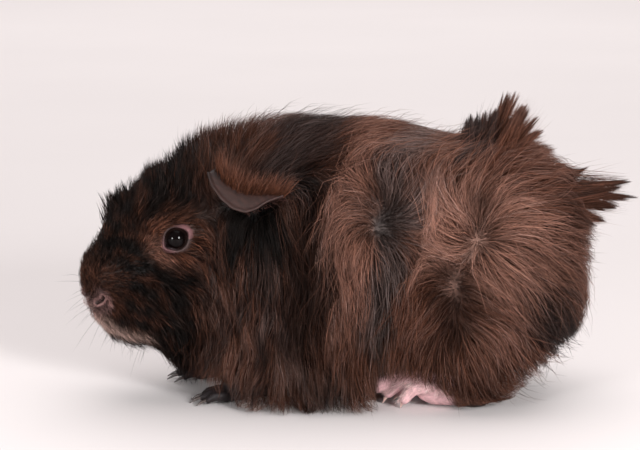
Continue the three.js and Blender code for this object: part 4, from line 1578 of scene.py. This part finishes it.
def make_foot_hairs(grid, count):
    """Sparse pale hairs on the hind feet and short black ones on the forefeet."""

    def on_feet(points, normals):
        """How densely the feet's hair grows."""
        hind = on_hind_feet(points)
        fore = (points[:, 2] < 9.5) & (points[:, 0] < -40)
        return (0.5 * hind + 0.35 * fore) * (normals[:, 2] > -0.2)

    roots, normals = random_roots(skin.data, count, on_feet)
    hind = (roots[:, 0] > 0)[:, None]
    along = unit(np.array([-1.0, 0, -0.25]) + rng.normal(0, 0.25, roots.shape))
    lying = unit(along - dot(along, normals) * normals + normals * 0.3)
    lengths = rng.uniform(2.0, 4.5, count) * np.where(hind[:, 0], 1, 0.5)
    path = curved_hairs(roots - normals * 0.2, lying, lengths, 0.5)
    path[..., 2] = np.maximum(path[..., 2], 0.3)
    tones = np.where(hind, FOOT_HAIR, INK * 2) * np.exp(rng.normal(0, 0.3, count))[:, None]
    widths = rng.uniform(0.12, 0.2, count)
    hair_piece("foot_hairs", grid, path, widths, tones, 2, slot="hindfoot_skin")


# ---- Camera, floor and light -------------------------------------------------------------------

AIM = np.array([-8.4, 0.0, 70.8])
CAMERA_DISTANCE = 900.0
CAMERA_ELEVATION = math.radians(10)
LENS = 120.5
SENSOR = 36.0

# The studio works in metres. Each soft box has an azimuth and elevation in degrees, a distance, a
# width, a height and a power in watts.
HEAD_SPOT = Vector((-0.03, -0.01, 0.06))  # where the soft boxes point
SOFTBOXES = {
    "front_right": (30, 17, 1.3, 0.29, 0.35, 20),
    "front_left": (-35, 10, 1.3, 0.21, 0.26, 10),
    "backdrop": (0, 90, 1.6, 2.6, 1.6, 16),
}
BACKDROP_BEHIND = 2.0  # how far behind the animal the backdrop's light hangs
WALL_COLOUR = (1.0, 0.955, 0.955, 1)
WALL_STRENGTH = 0.32
CEILING_COLOUR = (1.0, 0.955, 0.95)
CEILING_STRENGTH = 1.7
FLOOR_HALF = 12


def make_camera():
    """A long lens a little above the animal, from its left side."""
    data = bpy.data.cameras.new("camera")
    data.lens = LENS
    data.sensor_width = SENSOR
    data.clip_start = 0.05
    data.clip_end = 50
    camera = bpy.data.objects.new("camera", data)
    bpy.context.scene.collection.objects.link(camera)
    back = np.array([0, -math.cos(CAMERA_ELEVATION), math.sin(CAMERA_ELEVATION)])
    camera.location = (AIM + CAMERA_DISTANCE * back) * MM
    camera.rotation_euler = (math.pi / 2 - CAMERA_ELEVATION, 0, 0)
    bpy.context.scene.camera = camera


def softbox(name, azimuth, elevation, distance, width, height, power):
    """An area light, in metres, that faces the head. Its azimuth is to the right of the camera."""
    turn, lift = math.radians(azimuth), math.radians(elevation)
    away = Vector((math.sin(turn) * math.cos(lift), -math.cos(turn) * math.cos(lift), math.sin(lift)))
    data = bpy.data.lights.new(name, "AREA")
    data.shape = "RECTANGLE"
    data.size, data.size_y = width, height
    data.energy = power
    light = bpy.data.objects.new(name, data)
    bpy.context.scene.collection.objects.link(light)
    light.location = HEAD_SPOT + away * distance
    light.rotation_euler = (-away).to_track_quat("-Z", "Y").to_euler()
    light.visible_camera = False
    return light


def make_floor():
    """A plain pale floor, which isn't a part of the animal."""
    bm = bmesh.new()
    bmesh.ops.create_grid(bm, x_segments=2, y_segments=2, size=FLOOR_HALF)
    floor = from_bmesh("floor", bm)
    floor.data.materials.append(mottled_material("pale_floor", FLOOR_WHITE, 0.6, 0.01, 3, 0.2))


def light_studio():
    """Pale walls, two soft boxes in front, one over the backdrop and a wide light overhead."""
    world = bpy.data.worlds.new("studio")
    world.use_nodes = True
    wall = world.node_tree.nodes["Background"]
    wall.inputs["Color"].default_value = WALL_COLOUR
    wall.inputs["Strength"].default_value = WALL_STRENGTH
    bpy.context.scene.world = world
    bpy.context.scene.view_settings.view_transform = "Standard"
    lights = {name: softbox(name, *values) for name, values in SOFTBOXES.items()}
    lights["backdrop"].location.y += BACKDROP_BEHIND
    sky = bpy.data.lights.new("ceiling", "SUN")
    sky.energy = CEILING_STRENGTH
    sky.angle = math.radians(70)
    sky.color = CEILING_COLOUR
    ceiling = bpy.data.objects.new("ceiling", sky)
    ceiling.rotation_euler = (math.radians(-14), math.radians(8), 0)
    bpy.context.scene.collection.objects.link(ceiling)


make_camera()
make_floor()
light_studio()

skin = make_skin()
paint(skin.data, skin_tones(vertices_mm(skin.data)))
skin.data.materials.clear()
skin.data.materials.append(skin_material("hairy_skin", 0.6))
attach(skin, "root")
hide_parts(*FLESH, *FEET)

HAIR = hair_material()
grid = distance_grid(skin.data)
make_coat(grid, COAT_HAIRS)
make_face_fur(grid, FACE_HAIRS)
make_guard_hairs(grid, GUARD_HAIRS)
for plume in PLUMES:
    make_plume(grid, plume)
make_whiskers(grid)
make_foot_hairs(grid, FOOT_HAIRS)
make_eyes()
make_ears()
make_ear_fringe(grid, EAR_HAIRS)
make_claws()
